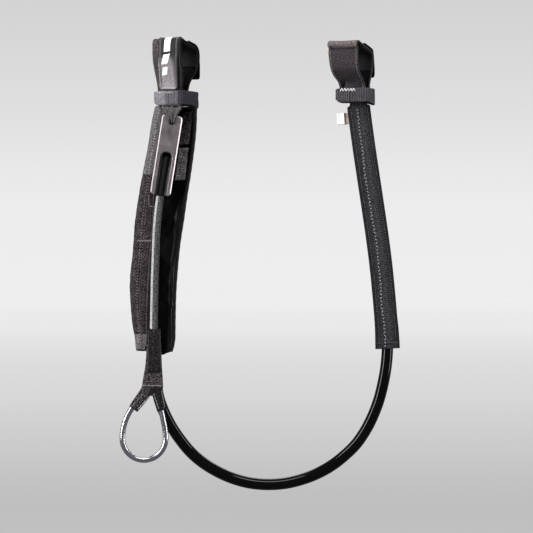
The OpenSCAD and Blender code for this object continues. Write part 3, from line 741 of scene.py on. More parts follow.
def make_stage():
    world = bpy.data.worlds.new("studio")
    bpy.context.scene.world = world
    world.use_nodes = True
    t = Tree(world.node_tree)
    back = world.node_tree.nodes["Background"]
    height = t.split(t.node("ShaderNodeTexCoord").outputs["Generated"])[2]
    sky = t.ramp(height, [(0.0, 0.85), (0.02, 0.84), (0.05, 0.73), (0.078, 0.65), (0.6, 0.6)])
    ray = t.node("ShaderNodeLightPath").outputs
    unseen = t.mix(ray["Is Glossy Ray"], (0.11, 0.11, 0.115), (0.32, 0.32, 0.34))
    t.link(t.mix(ray["Is Camera Ray"], unseen, sky), back.inputs["Color"])

    size, low = 40.0, -0.6  # metres: how far the floor reaches and its height
    mesh = bpy.data.meshes.new("floor")
    n = 64
    ring = [
        (size * math.cos(2 * math.pi * k / n), size * math.sin(2 * math.pi * k / n), low) for k in range(n)
    ]
    mesh.from_pydata(ring, [], [list(range(n))])
    m, t = new_material("floor", 0.9, colour=(0.12, 0.12, 0.12), Specular_IOR_Level=0.0)
    x, y, _ = t.split(t.spot(False))
    far = t.maths(
        "SQRT",
        t.maths("ADD", t.maths("POWER", t.maths("SUBTRACT", x, CENTRE[0]), 2.0), t.maths("POWER", y, 2.0)),
    )
    glow = t.ramp(
        t.maths("DIVIDE", far, size),
        [(0.054, 0.472), (0.072, 0.487), (0.1125, 0.572), (0.1825, 0.662), (0.47, 0.8), (1.0, 0.85)],
    )
    t.link(glow, t.shader.inputs["Emission Color"])
    t.shader.inputs["Emission Strength"].default_value = 1.0
    mesh.materials.append(m)
    floor = bpy.data.objects.new("floor", mesh)
    floor.visible_glossy = False
    floor.visible_diffuse = False
    bpy.context.scene.collection.objects.link(floor)


make_stage()

# ---------------------------------------------------------------- pull ring

RING_MID = np.array((-28.3, -342.6))
WIRE_D = 5.0


def arc(mid, r, start, end, steps):
    """Points on an arc in the plane of the tail; start and end are angles in degrees."""
    turn = np.radians(np.linspace(start, end, steps + 1))
    return [(mid[0] + r * math.cos(g), ROPE_Y, mid[1] + r * math.sin(g)) for g in turn]


def ring_route():
    """A round lower half; its sides lean in, the left one further, to a small bend at the top."""
    r, left_r, right_r, bend = 19.4, 46.5, 60.0, 9.5
    left, right = math.radians(34.6), math.radians(12)
    left_foot = RING_MID + (-r + left_r * (1 - math.cos(left)), left_r * math.sin(left))
    right_foot = RING_MID + (r - right_r * (1 - math.cos(right)), right_r * math.sin(right))
    left_way = np.array((math.sin(left), math.cos(left)))
    right_way = np.array((-math.sin(right), math.cos(right)))
    crossed = lambda p, q: p[0] * q[1] - p[1] * q[0]
    right_reach = crossed(right_foot - left_foot, left_way) / crossed(left_way, right_way)
    cut = bend / math.tan((left + right) / 2)
    right_end = right_foot + (right_reach - cut) * right_way
    bend_mid = right_end - bend * np.array((math.cos(right), math.sin(right)))
    return (
        arc(RING_MID + (r - right_r, 0), right_r, 0, 12, 3)
        + arc(bend_mid, bend, 12, 180 - 34.6, 10)
        + arc(RING_MID + (left_r - r, 0), left_r, 180 - 34.6, 180, 6)[:-1]
        + arc(RING_MID, r, 180, 360, 24)[:-1]
    )


ring_line = smooth_path(ring_route(), 1.0, closed=True)
ring = round_tube("ring_wire", ring_line, WIRE_D / 2, "steel", 32, closed=True)
settle(ring, "ring", ["pull_ring"])

# ---------------------------------------------------------------- boom belts

YAW = math.radians(25)
A_AXIS = np.array((math.cos(YAW), -math.sin(YAW), 0.0))
B_AXIS = np.array((math.sin(YAW), math.cos(YAW), 0.0))


def in_belt(points, origin):
    """(along the bore, depth, height) in a belt's own axes, to the row frame."""
    p = np.asarray(points, float)
    return p[..., :1] * A_AXIS + p[..., 1:2] * B_AXIS + p[..., 2:3] * np.array((0, 0, 1.0)) + origin


def belt_path(profile, step=0.8):
    """A smooth path from (depth, height) pairs."""
    pairs = np.array(profile, float)
    return smooth_path(np.column_stack([np.zeros(len(pairs)), pairs]), step)


def wavy(seed, size, scale):
    """A smooth random height over a strap, the same each run."""
    g = np.random.default_rng(seed)
    waves = [
        (g.uniform(0.5, 1.5) * scale, g.uniform(0.5, 1.5) * scale, g.uniform(0, 6.28), g.uniform(0.4, 1.0))
        for _ in range(7)
    ]
    total = sum(w[3] for w in waves)
    return lambda x, s: size / total * sum(
        w[3] * np.sin(w[0] * x + w[1] * s * (1 if k % 2 else -1) + w[2]) for k, w in enumerate(waves)
    )


def belt_band(
    name, origin, path, left, right, thick, material, body, nodes, lift=None, columns=20, which=None,
):
    s = lengths(path)
    size = lambda spec: spec(path, s) if callable(spec) else spec
    piece = strap(
        name, in_belt(path, origin), A_AXIS, size(left), size(right), size(thick), material, columns, lift,
        which=which
    )
    return settle(piece, body, nodes)


def offset_profile(profile, by):
    """A (depth, height) profile moved outwards, which is to the right of the way along it."""
    p = np.array(profile, float)
    return p + by * sideways(p)


def stretch(profile, first, last, by, step=0.8):
    """The part of a profile's path from near one (depth, height) to near another, moved outwards."""
    path = belt_path(profile, step)
    start, end = (int(np.argmin(np.linalg.norm(path[:, 1:] - place, axis=1))) for place in (first, last))
    moved = offset_profile(path[start : end + 1, 1:], by)
    return np.column_stack([np.zeros(len(moved)), moved])


def on_belt(path, origin, a, by):
    """Points beside a belt's path, at a along the bore and by above it, with the way out of the surface."""
    base = in_belt(path, origin)
    out = np.cross(along(base), A_AXIS)
    return base + np.multiply.outer(np.broadcast_to(a, len(path)), A_AXIS) + by * out, out


def selvedge(x, s, left, right):
    """Webbing is a little thicker along its edges, with a shallow groove inside."""
    d = np.minimum(x - left, right - x)
    return (
        0.16 * np.exp(-(((d - 0.9) / 0.7) ** 2)) - 0.10 * np.exp(-(((d - 2.6) / 0.6) ** 2))
        + 0.05 * np.sin(2 * math.pi * s / 1.6)
    )


ADJ = np.array((0.0, 0.0, 0.0))
FIX = np.array((158.0, 0.0, -3.6))

# the loops as they hang off the boom, from the back of the neck over the top to its front
ADJ_LOOP = [
    (2.1, -43.6), (2.1, -36), (2.1, -30), (3.2, -24), (6.8, -19), (11.5, -14.2), (14.9, -9), (16.6, -3),
    (16.8, 2), (15.4, 6.2), (11.5, 8.9), (5, 10.2), (-2, 11.4), (-9, 13.3), (-14.3, 15.0), (-17.3, 14.2),
    (-18.4, 11), (-18.5, 5), (-18.1, 0), (-17.2, -5), (-14.7, -12), (-11.1, -22), (-9.3, -31), (-9.0, -37),
    (-8.9, -43.6),
]
FIX_LOOP = [
    (6.2, -37.2), (6.2, -28), (7.2, -21), (11, -14.5), (14.6, -8), (16.6, -2), (16.9, 3), (15.4, 7),
    (11.5, 9.6), (5, 11.4), (-2, 13), (-9, 15), (-14.5, 16.6), (-18, 16.6), (-19.9, 15.3), (-20.2, 13.4),
    (-19, 11.8), (-17.7, 10.6), (-17.9, 5), (-17.6, -2), (-16.0, -8), (-11.2, -13.5), (-5.4, -19.2),
    (-3.4, -23.5),
    (-2.7, -27), (-2.3, -31), (-2.2, -37.2),
]


def edge_at(heights, places):
    """Where a belt's edge is along the bore, by height."""
    return lambda path, s: np.interp(path[:, 2], heights, places)


adj_left = edge_at([-50, -30, -12, 30], [-13.4, -13.4, -14.4, -14.4])
adj_right = edge_at([-50, -30, -12, 30], [11.5, 11.5, 14.4, 14.4])
fix_left = edge_at([-50, -25, -18.5, -13.5, 5.6, 30], [-9.2, -10.0, -10.6, -12.6, -14.6, -14.6])
fix_right = edge_at([-50, -24, -10, 30], [15.4, 15.4, 14.4, 14.4])
BELT_T = 1.7
TAB_HALF = 14.4


def outside_only(i, j, columns):
    """The outer face is webbing and the inner one is pile."""
    return int(columns + EDGE_POINTS <= j < 2 * columns + EDGE_POINTS)


def adjuster_faces(i, j, columns):
    """Pale webbing beside the panel's left; to its right the same webbing darkened as painted shade, away
    from the light; pile inside.
    """
    if outside_only(i, j, columns):
        return 1
    return 2 if 0.66 * columns < j < columns + EDGE_POINTS else 0


def fixed_faces(i, j, columns):
    """The roll over the top takes paler webbing, painted light where it faces up to the light; pile inside.
    """
    if outside_only(i, j, columns):
        return 1
    return 2 if LIT_ROLL[0] <= i <= LIT_ROLL[1] and j < columns else 0


belt_wave = wavy(3, 0.35, 0.22)
belt_band(
    "adjuster_webbing", ADJ, belt_path(ADJ_LOOP), adj_left, adj_right, BELT_T,
    ["webbing", "hook_pile", "webbing_dark"],
    "adjuster_belt", ["adjuster_belt"],
    lambda x, s, l, r: selvedge(x, s, l, r) + belt_wave(x, s), 34, adjuster_faces,
)
fix_wave = wavy(5, 0.5, 0.2)
FIX_LENGTH = float(lengths(belt_path(FIX_LOOP))[-1])
# rows of the fixed belt's top roll, which take webbing_light as painted light on its upper face
LIT_ROLL = [
    int(np.argmin(np.linalg.norm(belt_path(FIX_LOOP, 0.6)[:, 1:] - place, axis=1)))
    for place in ((-15, 16.7), (-18.6, 11.4))
]


def fixed_lift(x, s, left, right):
    """The fixed belt's front: a deep dimple low on the left, with a ridge beside it."""
    up = FIX_LENGTH - s
    dimple = -1.9 * np.exp(-(((x + 6.5 - 0.5 * (up - 14)) / 2.2) ** 2) - ((up - 15.5) / 4.5) ** 2)
    ridge = 1.0 * np.exp(-(((x - 1.5 - 0.4 * (up - 12)) / 3.0) ** 2) - ((up - 12.5) / 4) ** 2)
    return selvedge(x, s, left, right) + fix_wave(x, s) + dimple + ridge


belt_band(
    "fixed_webbing", FIX, belt_path(FIX_LOOP, 0.6), fix_left, fix_right, BELT_T,
    ["webbing_mid", "hook_pile", "webbing_light"],
    "fixed_belt", ["fixed_belt"], fixed_lift, 40, fixed_faces,
)


def belt_fittings(tag, origin, loop, liner_material, liner_left, tab_low, tab_top_at):
    """Liner inside, loop patch and closing tab on the back."""
    inside = stretch(loop, (14.9, -9), (-17.2, -5), -1.5)
    at_front = (inside[:, 1] < -12) & (inside[:, 2] > 2)
    belt_band(
        tag + "_grip", origin, inside, liner_left, 13.4, 1.0, liner_material,
        tag + "_belt", [tag + "_liner"],
        lambda x, s, l, r: 0.08 * np.sin(2 * math.pi * s / 1.5),
        which=lambda i, j, c: int(at_front[i] and (j < 4 or j > 2 * c + 3)),
    )
    belt_band(
        tag + "_pile", origin, stretch(loop, (15, -8.5), (3, 11), 1.15), -12.4, 12.4, 0.5, "loop_pile",
        tag + "_belt", [tag + "_loop_patch"],
    )
    back = [tuple(p) for p in offset_profile(loop[7:tab_top_at], 2.4)]
    low = [(19.6, tab_low + 0.4), (19.6, tab_low + 7), (19.6, -6)]
    tab_path = belt_path(low + back)
    tab_round = lambda path, s: np.minimum(1.6, np.sqrt(np.maximum(0.02, s * (6 - s))) * 0.53) - 1.6
    tab = belt_band(
        tag + "_flap", origin, tab_path, lambda p, s: -TAB_HALF - np.where(s < 3, tab_round(p, s), 0),
        lambda p, s: TAB_HALF + np.where(s < 3, tab_round(p, s), 0), 1.1, ["back_webbing", "hook_pile"],
        None, [tag + "_tab", tag + "_tab_hook"],
        lambda x, s, l, r: selvedge(x, s, l, r) + 0.5 * belt_wave(x, s), 26, outside_only,
    )
    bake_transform(tab)
    for side in (-1, 1):
        seam = tab_path[4:]
        places, out = on_belt(seam, origin, side * 12.6, 0.62)
        line = stitch_line(
            f"{tag}_flap_seam_{'left' if side < 0 else 'right'}", places, out, 2.0, 1.5, 0.4, "thread_dark",
            height=0.2,
        )
        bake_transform(line)


def fixed_liner_left(path, s):
    """The liner sticks out past the webbing's left edge below the top roll."""
    return -13.4 - 3.6 * np.exp(-(((path[:, 2] - 8.5) / 3.6) ** 2)) * (path[:, 1] < -10)


belt_fittings("adjuster", ADJ, ADJ_LOOP, ["liner_black", "liner_black"], -13.4, -19.8, 13)
belt_fittings("fixed", FIX, FIX_LOOP, ["liner_black", "liner_tan"], fixed_liner_left, -14.6, 11)


def edge_seams(tag, origin, path, left, right, material):
    """A row of stitches along each edge of a belt's outer face."""
    inset = 1.9
    s = lengths(path)
    for name, a in (("left", left(path, s) + inset), ("right", right(path, s) - inset)):
        places, out = on_belt(path, origin, a, 0.9)
        sew(f"{tag}_edge_{name}", places, out, 2.1, 1.6, 0.62, material, tag + "_belt", height=0.3)


edge_seams("adjuster", ADJ, stretch(ADJ_LOOP, (16.8, -3), (-10, -27), 0), adj_left, adj_right, "thread_dark")
edge_seams("fixed", FIX, stretch(FIX_LOOP, (16.8, -3), (-4.5, -24), 0), fix_left, fix_right, "thread_mid")

# ---------------------------------------------------------------- panel on the adjuster belt


def panel_left(path, s):
    z = path[:, 2]
    side = np.interp(z, [-29.4, -27, 0, 20], [-10.6, -10.6, -8, -8])
    return side + corner_cut(z)


def panel_right(path, s):
    z = path[:, 2]
    side = np.interp(z, [-29.4, -27, 4, 20], [7.4, 7.4, 12.6, 12.6])
    return side - corner_cut(z)


def corner_cut(z):
    """How far each edge comes in at the panel's rounded lower corners."""
    up = np.clip(z + 29.5, 0, 3)
    return 3 - np.sqrt(np.maximum(9 - (3 - up) ** 2, 0.01))


def panel_lift(x, s, left, right):
    """A raised rim, and a shallow channel on each side of it."""
    d = np.minimum(x - left, right - x)
    low = PANEL_LENGTH - s
    d = np.minimum(d, low + 0.3)
    rim = 0.5 * np.exp(-(((d - 0.9) / 0.55) ** 2))
    channel = -0.2 * np.exp(-(((d - 2.1) / 0.5) ** 2))
    ridge = (
        0.28 * np.exp(-(((right - x - 4.1) / 0.5) ** 2)) + 0.2 * np.exp(-(((right - x - 5.6) / 0.35) ** 2))
    )
    return rim + channel + ridge * (low > 3)


panel_path = stretch(ADJ_LOOP, (-6, 11.1), (-9.6, -29.4), 1.35, 0.5)
panel_v = lengths(panel_path)
PANEL_LENGTH = float(panel_v[-1])
belt_band(
    "panel", ADJ, panel_path, panel_left, panel_right, 0.9, "panel", "adjuster_belt", ["adjuster_label"],
    panel_lift, 60,
)
for inset, tag in ((1.75, "outer"), (2.6, "inner")):
    for side in ("left", "right"):
        a = panel_left(panel_path, 0) + inset if side == "left" else panel_right(panel_path, 0) - inset
        places, out = on_belt(panel_path[:-3], ADJ, a[:-3], 0.55)
        nodes = ["adjuster_label_stitch"] if tag == "outer" and side == "left" else []
        name = f"panel_seam_{tag}_{side}"
        sew(name, places, out, 1.7, 1.2, 0.5, "thread_mid", "adjuster_belt", nodes, height=0.2)
across_low = np.linspace(-7.4, 4.4, 40)
places, out = on_belt(panel_path[-8:], ADJ, 0, 0.62)
places = places[3] + np.multiply.outer(across_low, A_AXIS)
low_out = np.broadcast_to(out[3], places.shape)
sew("panel_seam_low", places, low_out, 1.7, 1.2, 0.5, "thread_light", "adjuster_belt", height=0.2)


def panel_bar(name, start, end, a0, a1, lean, material):
    """A flat printed bar from one distance down the panel to another, leaning sideways by lean."""
    rows, cols = 16, 6
    down = np.linspace(start, end, rows)
    places = np.linspace(a0, a1, cols)
    path = np.column_stack([np.interp(down, panel_v, panel_path[:, k]) for k in range(3)])
    t = np.array([np.interp(down, panel_v, along(in_belt(panel_path, ADJ))[:, k]) for k in range(3)]).T
    out = np.cross(unit(t), A_AXIS)
    points, faces = [], []
    for layer in (0.62, 0.40):
        for i in range(rows):
            for j in range(cols):
                a = places[j] + lean * (i / (rows - 1) - 0.5)
                drop = 0.35 * lean * (j / (cols - 1) - 0.5)
                points.append(in_belt(path[i], ADJ) + a * A_AXIS + out[i] * layer + t[i] * drop)
    n = rows * cols
    for i in range(rows - 1):
        for j in range(cols - 1):
            q = [i * cols + j, i * cols + j + 1, (i + 1) * cols + j + 1, (i + 1) * cols + j]
            faces += [q, [n + k for k in q[::-1]]]
    rim = [i * cols for i in range(rows)] + [(rows - 1) * cols + j for j in range(1, cols)]
    rim += [i * cols + cols - 1 for i in range(rows - 2, -1, -1)] + list(range(cols - 2, 0, -1))
    for k, a in enumerate(rim):
        b = rim[(k + 1) % len(rim)]
        faces.append([b, a, n + a, n + b])
    bar = add_mesh(name, points, faces, [material], smooth=False)
    return settle(bar, "adjuster_belt", [])


panel_bar("bar_top", 5.0, 25.0, -1.4, 4.6, -1.2, "white_print")
panel_bar("bar_middle", 27.5, 36.0, -4.0, 2.4, -3.0, "white_print")
panel_bar("bar_low", 39.0, 46.5, -5.4, -0.6, -2.0, "white_print")

# ---------------------------------------------------------------- keepers


KEEPER_CORNER = 4.0
KEEPER_H = 12.8
KEEPER_DROOP = 2.6  # how far the right end of its back sags
KEEPER_STEP = 0.45


def keeper_path(a0, a1, b0, b1):
    """A closed path round a rounded rectangle, counterclockwise from above, from the middle of the front."""
    corner = KEEPER_CORNER
    mids = [
        (a1 - corner, b0 + corner), (a1 - corner, b1 - corner), (a0 + corner, b1 - corner),
        (a0 + corner, b0 + corner),
    ]
    points = [((a0 + a1) / 2, b0)]
    for k, (a, b) in enumerate(mids):
        for turn in np.radians(np.linspace(-90 + 90 * k, 90 * k, 7)):
            points.append((a + corner * math.cos(turn), b + corner * math.sin(turn)))
    points.append(((a0 + a1) / 2, b0))
    p = np.array(points)
    s = lengths(p)
    at = np.linspace(0, s[-1], int(s[-1] / KEEPER_STEP), endpoint=False)
    return np.column_stack([np.interp(at, s, p[:, 0]), np.interp(at, s, p[:, 1]), np.zeros(len(at))])


def keeper_band(tag, origin, a0, a1, b0, b1, z_mid, materials, raise_left):
    path = keeper_path(a0, a1, b0, b1)
    a, b = path[:, 0], path[:, 1]
    near_right = np.exp(-(((a - a1) / 7) ** 2) - ((b - b1) / 9) ** 2)
    near_left = np.exp(-(((a - a0) / 3.5) ** 2) - ((b - b0) / 7) ** 2)
    low = -KEEPER_H / 2 - KEEPER_DROOP * near_right + raise_left * near_left
    high = KEEPER_H / 2 - 0.7 * near_left - 0.3 * near_right
    path3 = in_belt(np.column_stack([a, b, np.full(len(a), z_mid)]), origin)
    ripple = wavy(11, 0.25, 0.5)
    # painted light and shade: the front's left takes the first material, its middle the second, and the right
    # end and back the third
    shaded_part = (a > a1 - 6.9) | (b > b0 + 3)
    which = lambda i, j, c: 2 if shaded_part[i] else int(a[i] > a0 + 11.7)
    band = strap(
        tag + "_keeper_band", path3, (0, 0, 1), low, high, 1.5, materials, 26,
        lambda x, s, l, r: 0.3 * np.abs(np.sin(math.pi * s / 1.55)) + ripple(x, s), closed=True, which=which,
    )
    return settle(band, tag + "_keeper", [tag + "_keeper"])


keeper_band(
    "adjuster", ADJ, -15.5, 15.5, -14.2, 15.2, -37.3, ["elastic", "elastic_half_shade", "elastic_shaded"], 2.2,
)
keeper_band("fixed", FIX, -12.2, 18.7, -8.7, 10.7, -30.9, ["elastic_mid"] * 3, 2.8)


def keeper_zigzag(tag, origin, b, z, a0, a1, pitch, material, length, nodes):
    places, ways = [], []
    for k, a in enumerate(np.arange(a0, a1, pitch)):
        places.append(in_belt((a, b, z), origin))
        lean = 0.5 if k % 2 else -0.5
        ways.append(A_AXIS * lean + np.array((0, 0, -1.0)))
    out = np.broadcast_to(-B_AXIS, (len(places), 3))
    line = stitches(tag + "_keeper_zigzag", places, ways, out, length, 0.62, material, 0.4)
    settle(line, tag + "_keeper", nodes)


keeper_zigzag("fixed", FIX, -9.6, -26.2, -6.0, 8.2, 1.45, "thread_white", 3.0, ["fixed_keeper_stitch"])
keeper_zigzag("adjuster", ADJ, -15.1, -32.6, -11.5, 4.0, 1.4, "thread_grey", 1.8, [])

# ---------------------------------------------------------------- cleat, its rope and its hanger

EYE = (-3.4, -59.2)
LEAN = math.radians(9)


def in_cleat(points):
    """From the leaning cleat's own axes, whose origin is its eye, to the object's."""
    p = np.asarray(points, float)
    x = EYE[0] + p[..., 0] * math.cos(LEAN) + p[..., 2] * math.sin(LEAN)
    z = EYE[1] - p[..., 0] * math.sin(LEAN) + p[..., 2] * math.cos(LEAN)
    return np.stack([x, p[..., 1], z], -1)


def cad_copy(node, name, materials, bevel):
    """A copy of a CAD node's mesh with its sharp edges broken, so that they catch the light."""
    source = bpy.data.objects[node]
    copy = bpy.data.objects.new(name, source.data.copy())
    bpy.context.scene.collection.objects.link(copy)
    copy.matrix_world = source.matrix_world
    copy.data.materials.clear()
    for m in materials:
        copy.data.materials.append(MAT[m])
    work = bmesh.new()
    work.from_mesh(copy.data)
    bmesh.ops.remove_doubles(work, verts=work.verts, dist=0.00001)
    bmesh.ops.dissolve_limit(work, angle_limit=math.radians(1), verts=work.verts, edges=work.edges)
    # slanted faces and bevels take the last material; for the cleat frame that is a paler anodised, a painted
    # highlight on its edges
    for face in work.faces:
        slanted = 0.25 < abs(face.normal.y) < 0.95
        face.material_index = len(materials) - 1 if slanted else 0
        face.smooth = True
    work.to_mesh(copy.data)
    work.free()
    soften = copy.modifiers.new("soften", "BEVEL")
    soften.width = bevel * MM
    soften.segments = 3
    soften.limit_method = "ANGLE"
    soften.angle_limit = math.radians(28)
    soften.material = len(materials) - 1
    weight = copy.modifiers.new("flat_faces", "WEIGHTED_NORMAL")
    weight.keep_sharp = True
    settle(copy, "line", [node])


cad_copy("cleat_body", "cleat_frame", ["anodised", "anodised_lit_edge"], 0.4)
cad_copy("cleat_jaws", "cleat_teeth", ["jaw"], 0.12)

ROPE_D = 6.0
ROPE_R = ROPE_D / 2 - 0.05  # before the braid raises its strands
TURN_R = 4.2
BACK_Y = ROPE_Y + 2 * TURN_R
TURN_Z = -35.0


def braid(s, a):
    """Two sets of strands that cross each other."""
    twist = s * 0.9
    return 1 + 0.035 * (np.abs(np.sin(4 * a + twist)) + np.abs(np.sin(4 * a - twist)) - 1.3)


def cleat_rope_route():
    turn = [
        (0, ROPE_Y + TURN_R + TURN_R * math.cos(g), TURN_Z + TURN_R * math.sin(g))
        for g in np.radians(np.arange(0, 181, 15))
    ]
    down = [(0, ROPE_Y, z) for z in range(-38, -67, -4)]
    up = [(0, BACK_Y, z) for z in range(-61, -36, 4)]
    return up + turn + down


rope_turn = round_tube(
    "cleat_rope_turn", smooth_path(in_cleat(cleat_rope_route()), 0.5), ROPE_R, "rope", 36, shape=braid,
)
settle(rope_turn, "line", ["cleat_rope"])


def hanger_lift(x, s, left, right):
    """Webbing gathered into folds where it runs into the eye."""
    tight = np.exp(-(((s - 14) / 8) ** 2))
    t = (x - left) / (right - left)
    return 0.15 + tight * 0.75 * np.cos(2 * math.pi * 2.5 * (t - 0.5)) + 0.2 * np.sin(1.3 * x + 0.4 * s)


HANGER = [
    (-3.3, -17.4, -44.4), (-3.3, -19.6, -46.2), (-3.3, -20.3, -49), (-3.3, -20.5, -53), (-3.4, -20.3, -57),
    (-3.4, -18.6, -60), (-3.4, -14.4, -60.9), (-3.4, -10.2, -60), (-3.3, -8.4, -57), (-3.1, -8.0, -52),
    (-3, -8.1, -45),
]
hanger_path = smooth_path(HANGER, 0.4)
hanger_s = lengths(hanger_path)
hanger_half = np.interp(hanger_s, [0, 4, 8, 14, 16, 24, 28, 40], [8.6, 8.6, 6.4, 3.1, 2.3, 2.3, 4.6, 5.2])
hanger = strap(
    "cleat_hanger", hanger_path, (1, 0, 0), -hanger_half, hanger_half, 1.2, "hanger", 30, hanger_lift,
)
settle(hanger, "line", ["hanger"])


def neck_block():
    """The folded webbing between the belt's neck and the cleat, near-black: it also stands in as painted
    shadow below the keepers.
    """
    rings = []
    for z, grow in (
        (-34.2, -7.2), (-44.0, -7.2), (-44.3, -0.6), (-44.9, 0), (-46.6, 0.1), (-48.1, -0.2), (-48.8, -1.2),
    ):
        x0, x1, y0, y1 = -12.2 - grow, 6 + grow, -20.2 - grow, 0.8 + grow
        if grow < -5:
            x0, x1, y0, y1 = -6, 0, -6, 0
        g = np.arange(48) * 2 * math.pi / 48
        cx, cy = bent(np.cos(g), 0.35), bent(np.sin(g), 0.35)
        fold = 0.3 * np.sin(7 * g + z)
        x = (x0 + x1) / 2 + (x1 - x0 + fold) / 2 * cx
        y = (y0 + y1) / 2 + (y1 - y0 + fold) / 2 * cy
        rings.append(np.column_stack([x, y, np.full(48, z)]))
    return loft("hanger_block", rings[::-1], ["back_webbing"])


settle(neck_block(), "line", [])

# ---------------------------------------------------------------- cover

COVER = np.array([
    # height, middle, half width, inner edge of the flap as a share of the half width
    (-44.8, 0.1, 17.4, -0.58), (-62, -2, 19, -0.5), (-80, -4.3, 19.7, -0.42), (-105, -8.3, 20.3, -0.38),
    (-125, -11.8, 20.6, -0.34), (-145, -14.6, 20.6, -0.22), (-172, -17.8, 19.8, -0.18),
    (-206, -20.5, 19.6, -0.18),
    (-234, -20.2, 18.4, -0.28), (-254, -18.9, 16.7, -0.42), (-264, -19.5, 15, -0.58),
])
WALL = [
    (-0.98, -3), (-1, 1.5), (-0.9, 5.2), (-0.62, 7.8), (0, 8.9), (0.42, 8.2), (0.72, 6), (0.9, 3),
    (1, -0.6),
]
# parts of a section, as slices of the flap's points and the wall's together
WHOLE, FLAP, FLAP_AND_EDGE, BACK_AND_RIGHT, RIGHT_OF_BACK = (0, None), (0, 3), (0, 4), (5, None), (8, 11)
CLOTH_T = 1.8
ON_FLAP = -CLOTH_T / 2 - 1.5  # stitches on the flap, from the middle of its cloth; minus is outwards
cover_rows = smooth_path(COVER, 2.0)
cover_rows[:, 0] = np.minimum(cover_rows[:, 0], COVER[0, 0])


N_COVER = 90


def resample(line, count):
    s = lengths(line)
    at = np.linspace(0, s[-1], count)
    return np.column_stack([np.interp(at, s, line[:, k]) for k in range(line.shape[1])])


def cover_section(row, first=0, last=None, count=N_COVER):
    """The cover's section at one level, from the flap's inner edge round the back to the right edge."""
    _, mid, half, edge = row
    flap = [(edge, -6.6), ((edge - 0.85) / 2, -6.7), (-0.85, -6.2)]
    points = np.array([(mid + p[0] * half, p[1]) for p in (flap + WALL)[first:last]])
    return resample(smooth_path(points, 0.5), count)


def sag(points):
    """The cover's lower edge hangs a little lower right of the handle, and is cut off at its corner."""
    p = np.array(points, float)
    near = np.clip((-p[:, 2] - 248) / 16, 0, 1) ** 2
    p[:, 2] -= near * (4.2 * np.clip((p[:, 0] + 30) / 17, 0, 1) - 3.2 * np.clip((p[:, 0] + 12) / 7, 0, 1))
    return p


cover_wave = wavy(21, 0.55, 0.11)
cover_fine = wavy(22, 0.18, 0.5)


def cover_layer(
    name, rows, first, last, by0, by1, materials, which=None, count=N_COVER, wave=1.0, extra=None,
):
    """A layer of cloth from by0 to by1 inside the cover's middle surface, with rounded edges."""
    rings, uvs = [], []
    for row in rows:
        line = cover_section(row, first, last, count)
        inward = sideways(line)
        s = lengths(line)
        z = row[0]
        sway = wave * (cover_wave(s, z) + cover_fine(s, z))
        more = extra(s, z, s[-1]) if extra else 0
        mid, h = (by0 + by1) / 2, abs(by1 - by0) / 2
        edge = np.minimum(s, s[-1] - s)
        taper = np.sqrt(np.clip(edge / 0.5, 0.12, 1))
        outer = line + inward * (mid - h * taper + sway + more)[:, None]
        inner = line + inward * (mid + h * taper + sway)[:, None]
        ring = np.vstack([outer, inner[::-1]])
        rings.append(sag(np.column_stack([ring, np.full(len(ring), z)])))
        uvs.append(np.column_stack([np.concatenate([s, s[::-1]]), np.full(2 * len(s), -z)]))
    return loft(name, rings, materials, which=which, uvs=np.concatenate(uvs) * MM)


def cover_rows_between(top, low):
    z = cover_rows[:, 0]
    inside = cover_rows[(z < top - 0.5) & (z > low + 0.5)]
    end = lambda at: np.array([np.interp(-at, -z, cover_rows[:, k]) for k in range(4)])
    return np.vstack([end(top), inside, end(low)])


cover_cloth = cover_layer(
    "cover_cloth", cover_rows, *WHOLE, -CLOTH_T / 2, CLOTH_T / 2, ["back_cloth", "lining"],
    lambda i, j: int(j >= N_COVER),
)
settle(cover_cloth, "line", ["cover_flap", "cover_wall", "cover_back", "cover_side"])
lining = cover_layer(
    "cover_inside", cover_rows_between(-46, -262.5), *BACK_AND_RIGHT, CLOTH_T / 2 + 0.1, CLOTH_T / 2 + 1.0,
    ["lining"], count=60, wave=2.2,
)
settle(lining, "line", ["cover_lining"])


def herringbone(s, z, whole):
    """Slanting ribs that meet in a line down the middle of the strip, and dips at its two sewn edges."""
    mid = np.abs(s - 0.5 * whole)
    ribs = -0.22 * np.abs(np.sin((z + 0.9 * mid) * math.pi / 2.6))
    edge = np.minimum(s, whole - s)
    return ribs + 0.45 * np.exp(-(((edge - 2.0) / 0.7) ** 2))


def webbing_ribs(s, z, whole):
    edge = np.minimum(s, whole - s)
    return (
        -0.1 * np.abs(np.sin(z * math.pi / 1.5)) + 0.25 * np.exp(-(((edge - 1.8) / 0.5) ** 2))
        - 0.2 * np.exp(-(((edge - 0.6) / 0.5) ** 2))
    )


for name, top, low, by, material, extra, nodes, slot in (
    ("flap_pile", -106.5, -249, 1.2, "loop_pile", herringbone, ["cover_strip"], "velcro"),
    ("flap_end", -248.5, -263, 1.0, "strap", webbing_ribs, [], "webbing"),
    ("flap_webbing", -45.2, -106, 1.3, "strap_light", webbing_ribs, ["cover_top_strap"], "webbing_light"),
):
    layer = cover_layer(
        name, cover_rows_between(top, low), *FLAP_AND_EDGE, -CLOTH_T / 2 - by, -CLOTH_T / 2 + 0.2, [material],
        count=44, extra=extra,
    )
    settle(layer, "line", nodes)
# both patches wear colours lifted as painted light, inside the cover's shaded hollow
for tag, top, low, material in (("upper", -49, -79, "patch_dark"), ("lower", -81.5, -111, "patch_pile")):
    patch = cover_layer(
        f"patch_{tag}", cover_rows_between(top, low), *RIGHT_OF_BACK, CLOTH_T / 2 + 1.2, CLOTH_T / 2 + 2.2,
        [material], count=40, wave=2.2, extra=lambda s, z, whole: -0.15 * np.abs(np.sin(z * 1.2)),
    )
    settle(patch, "line", [f"cover_patch_{tag}"])


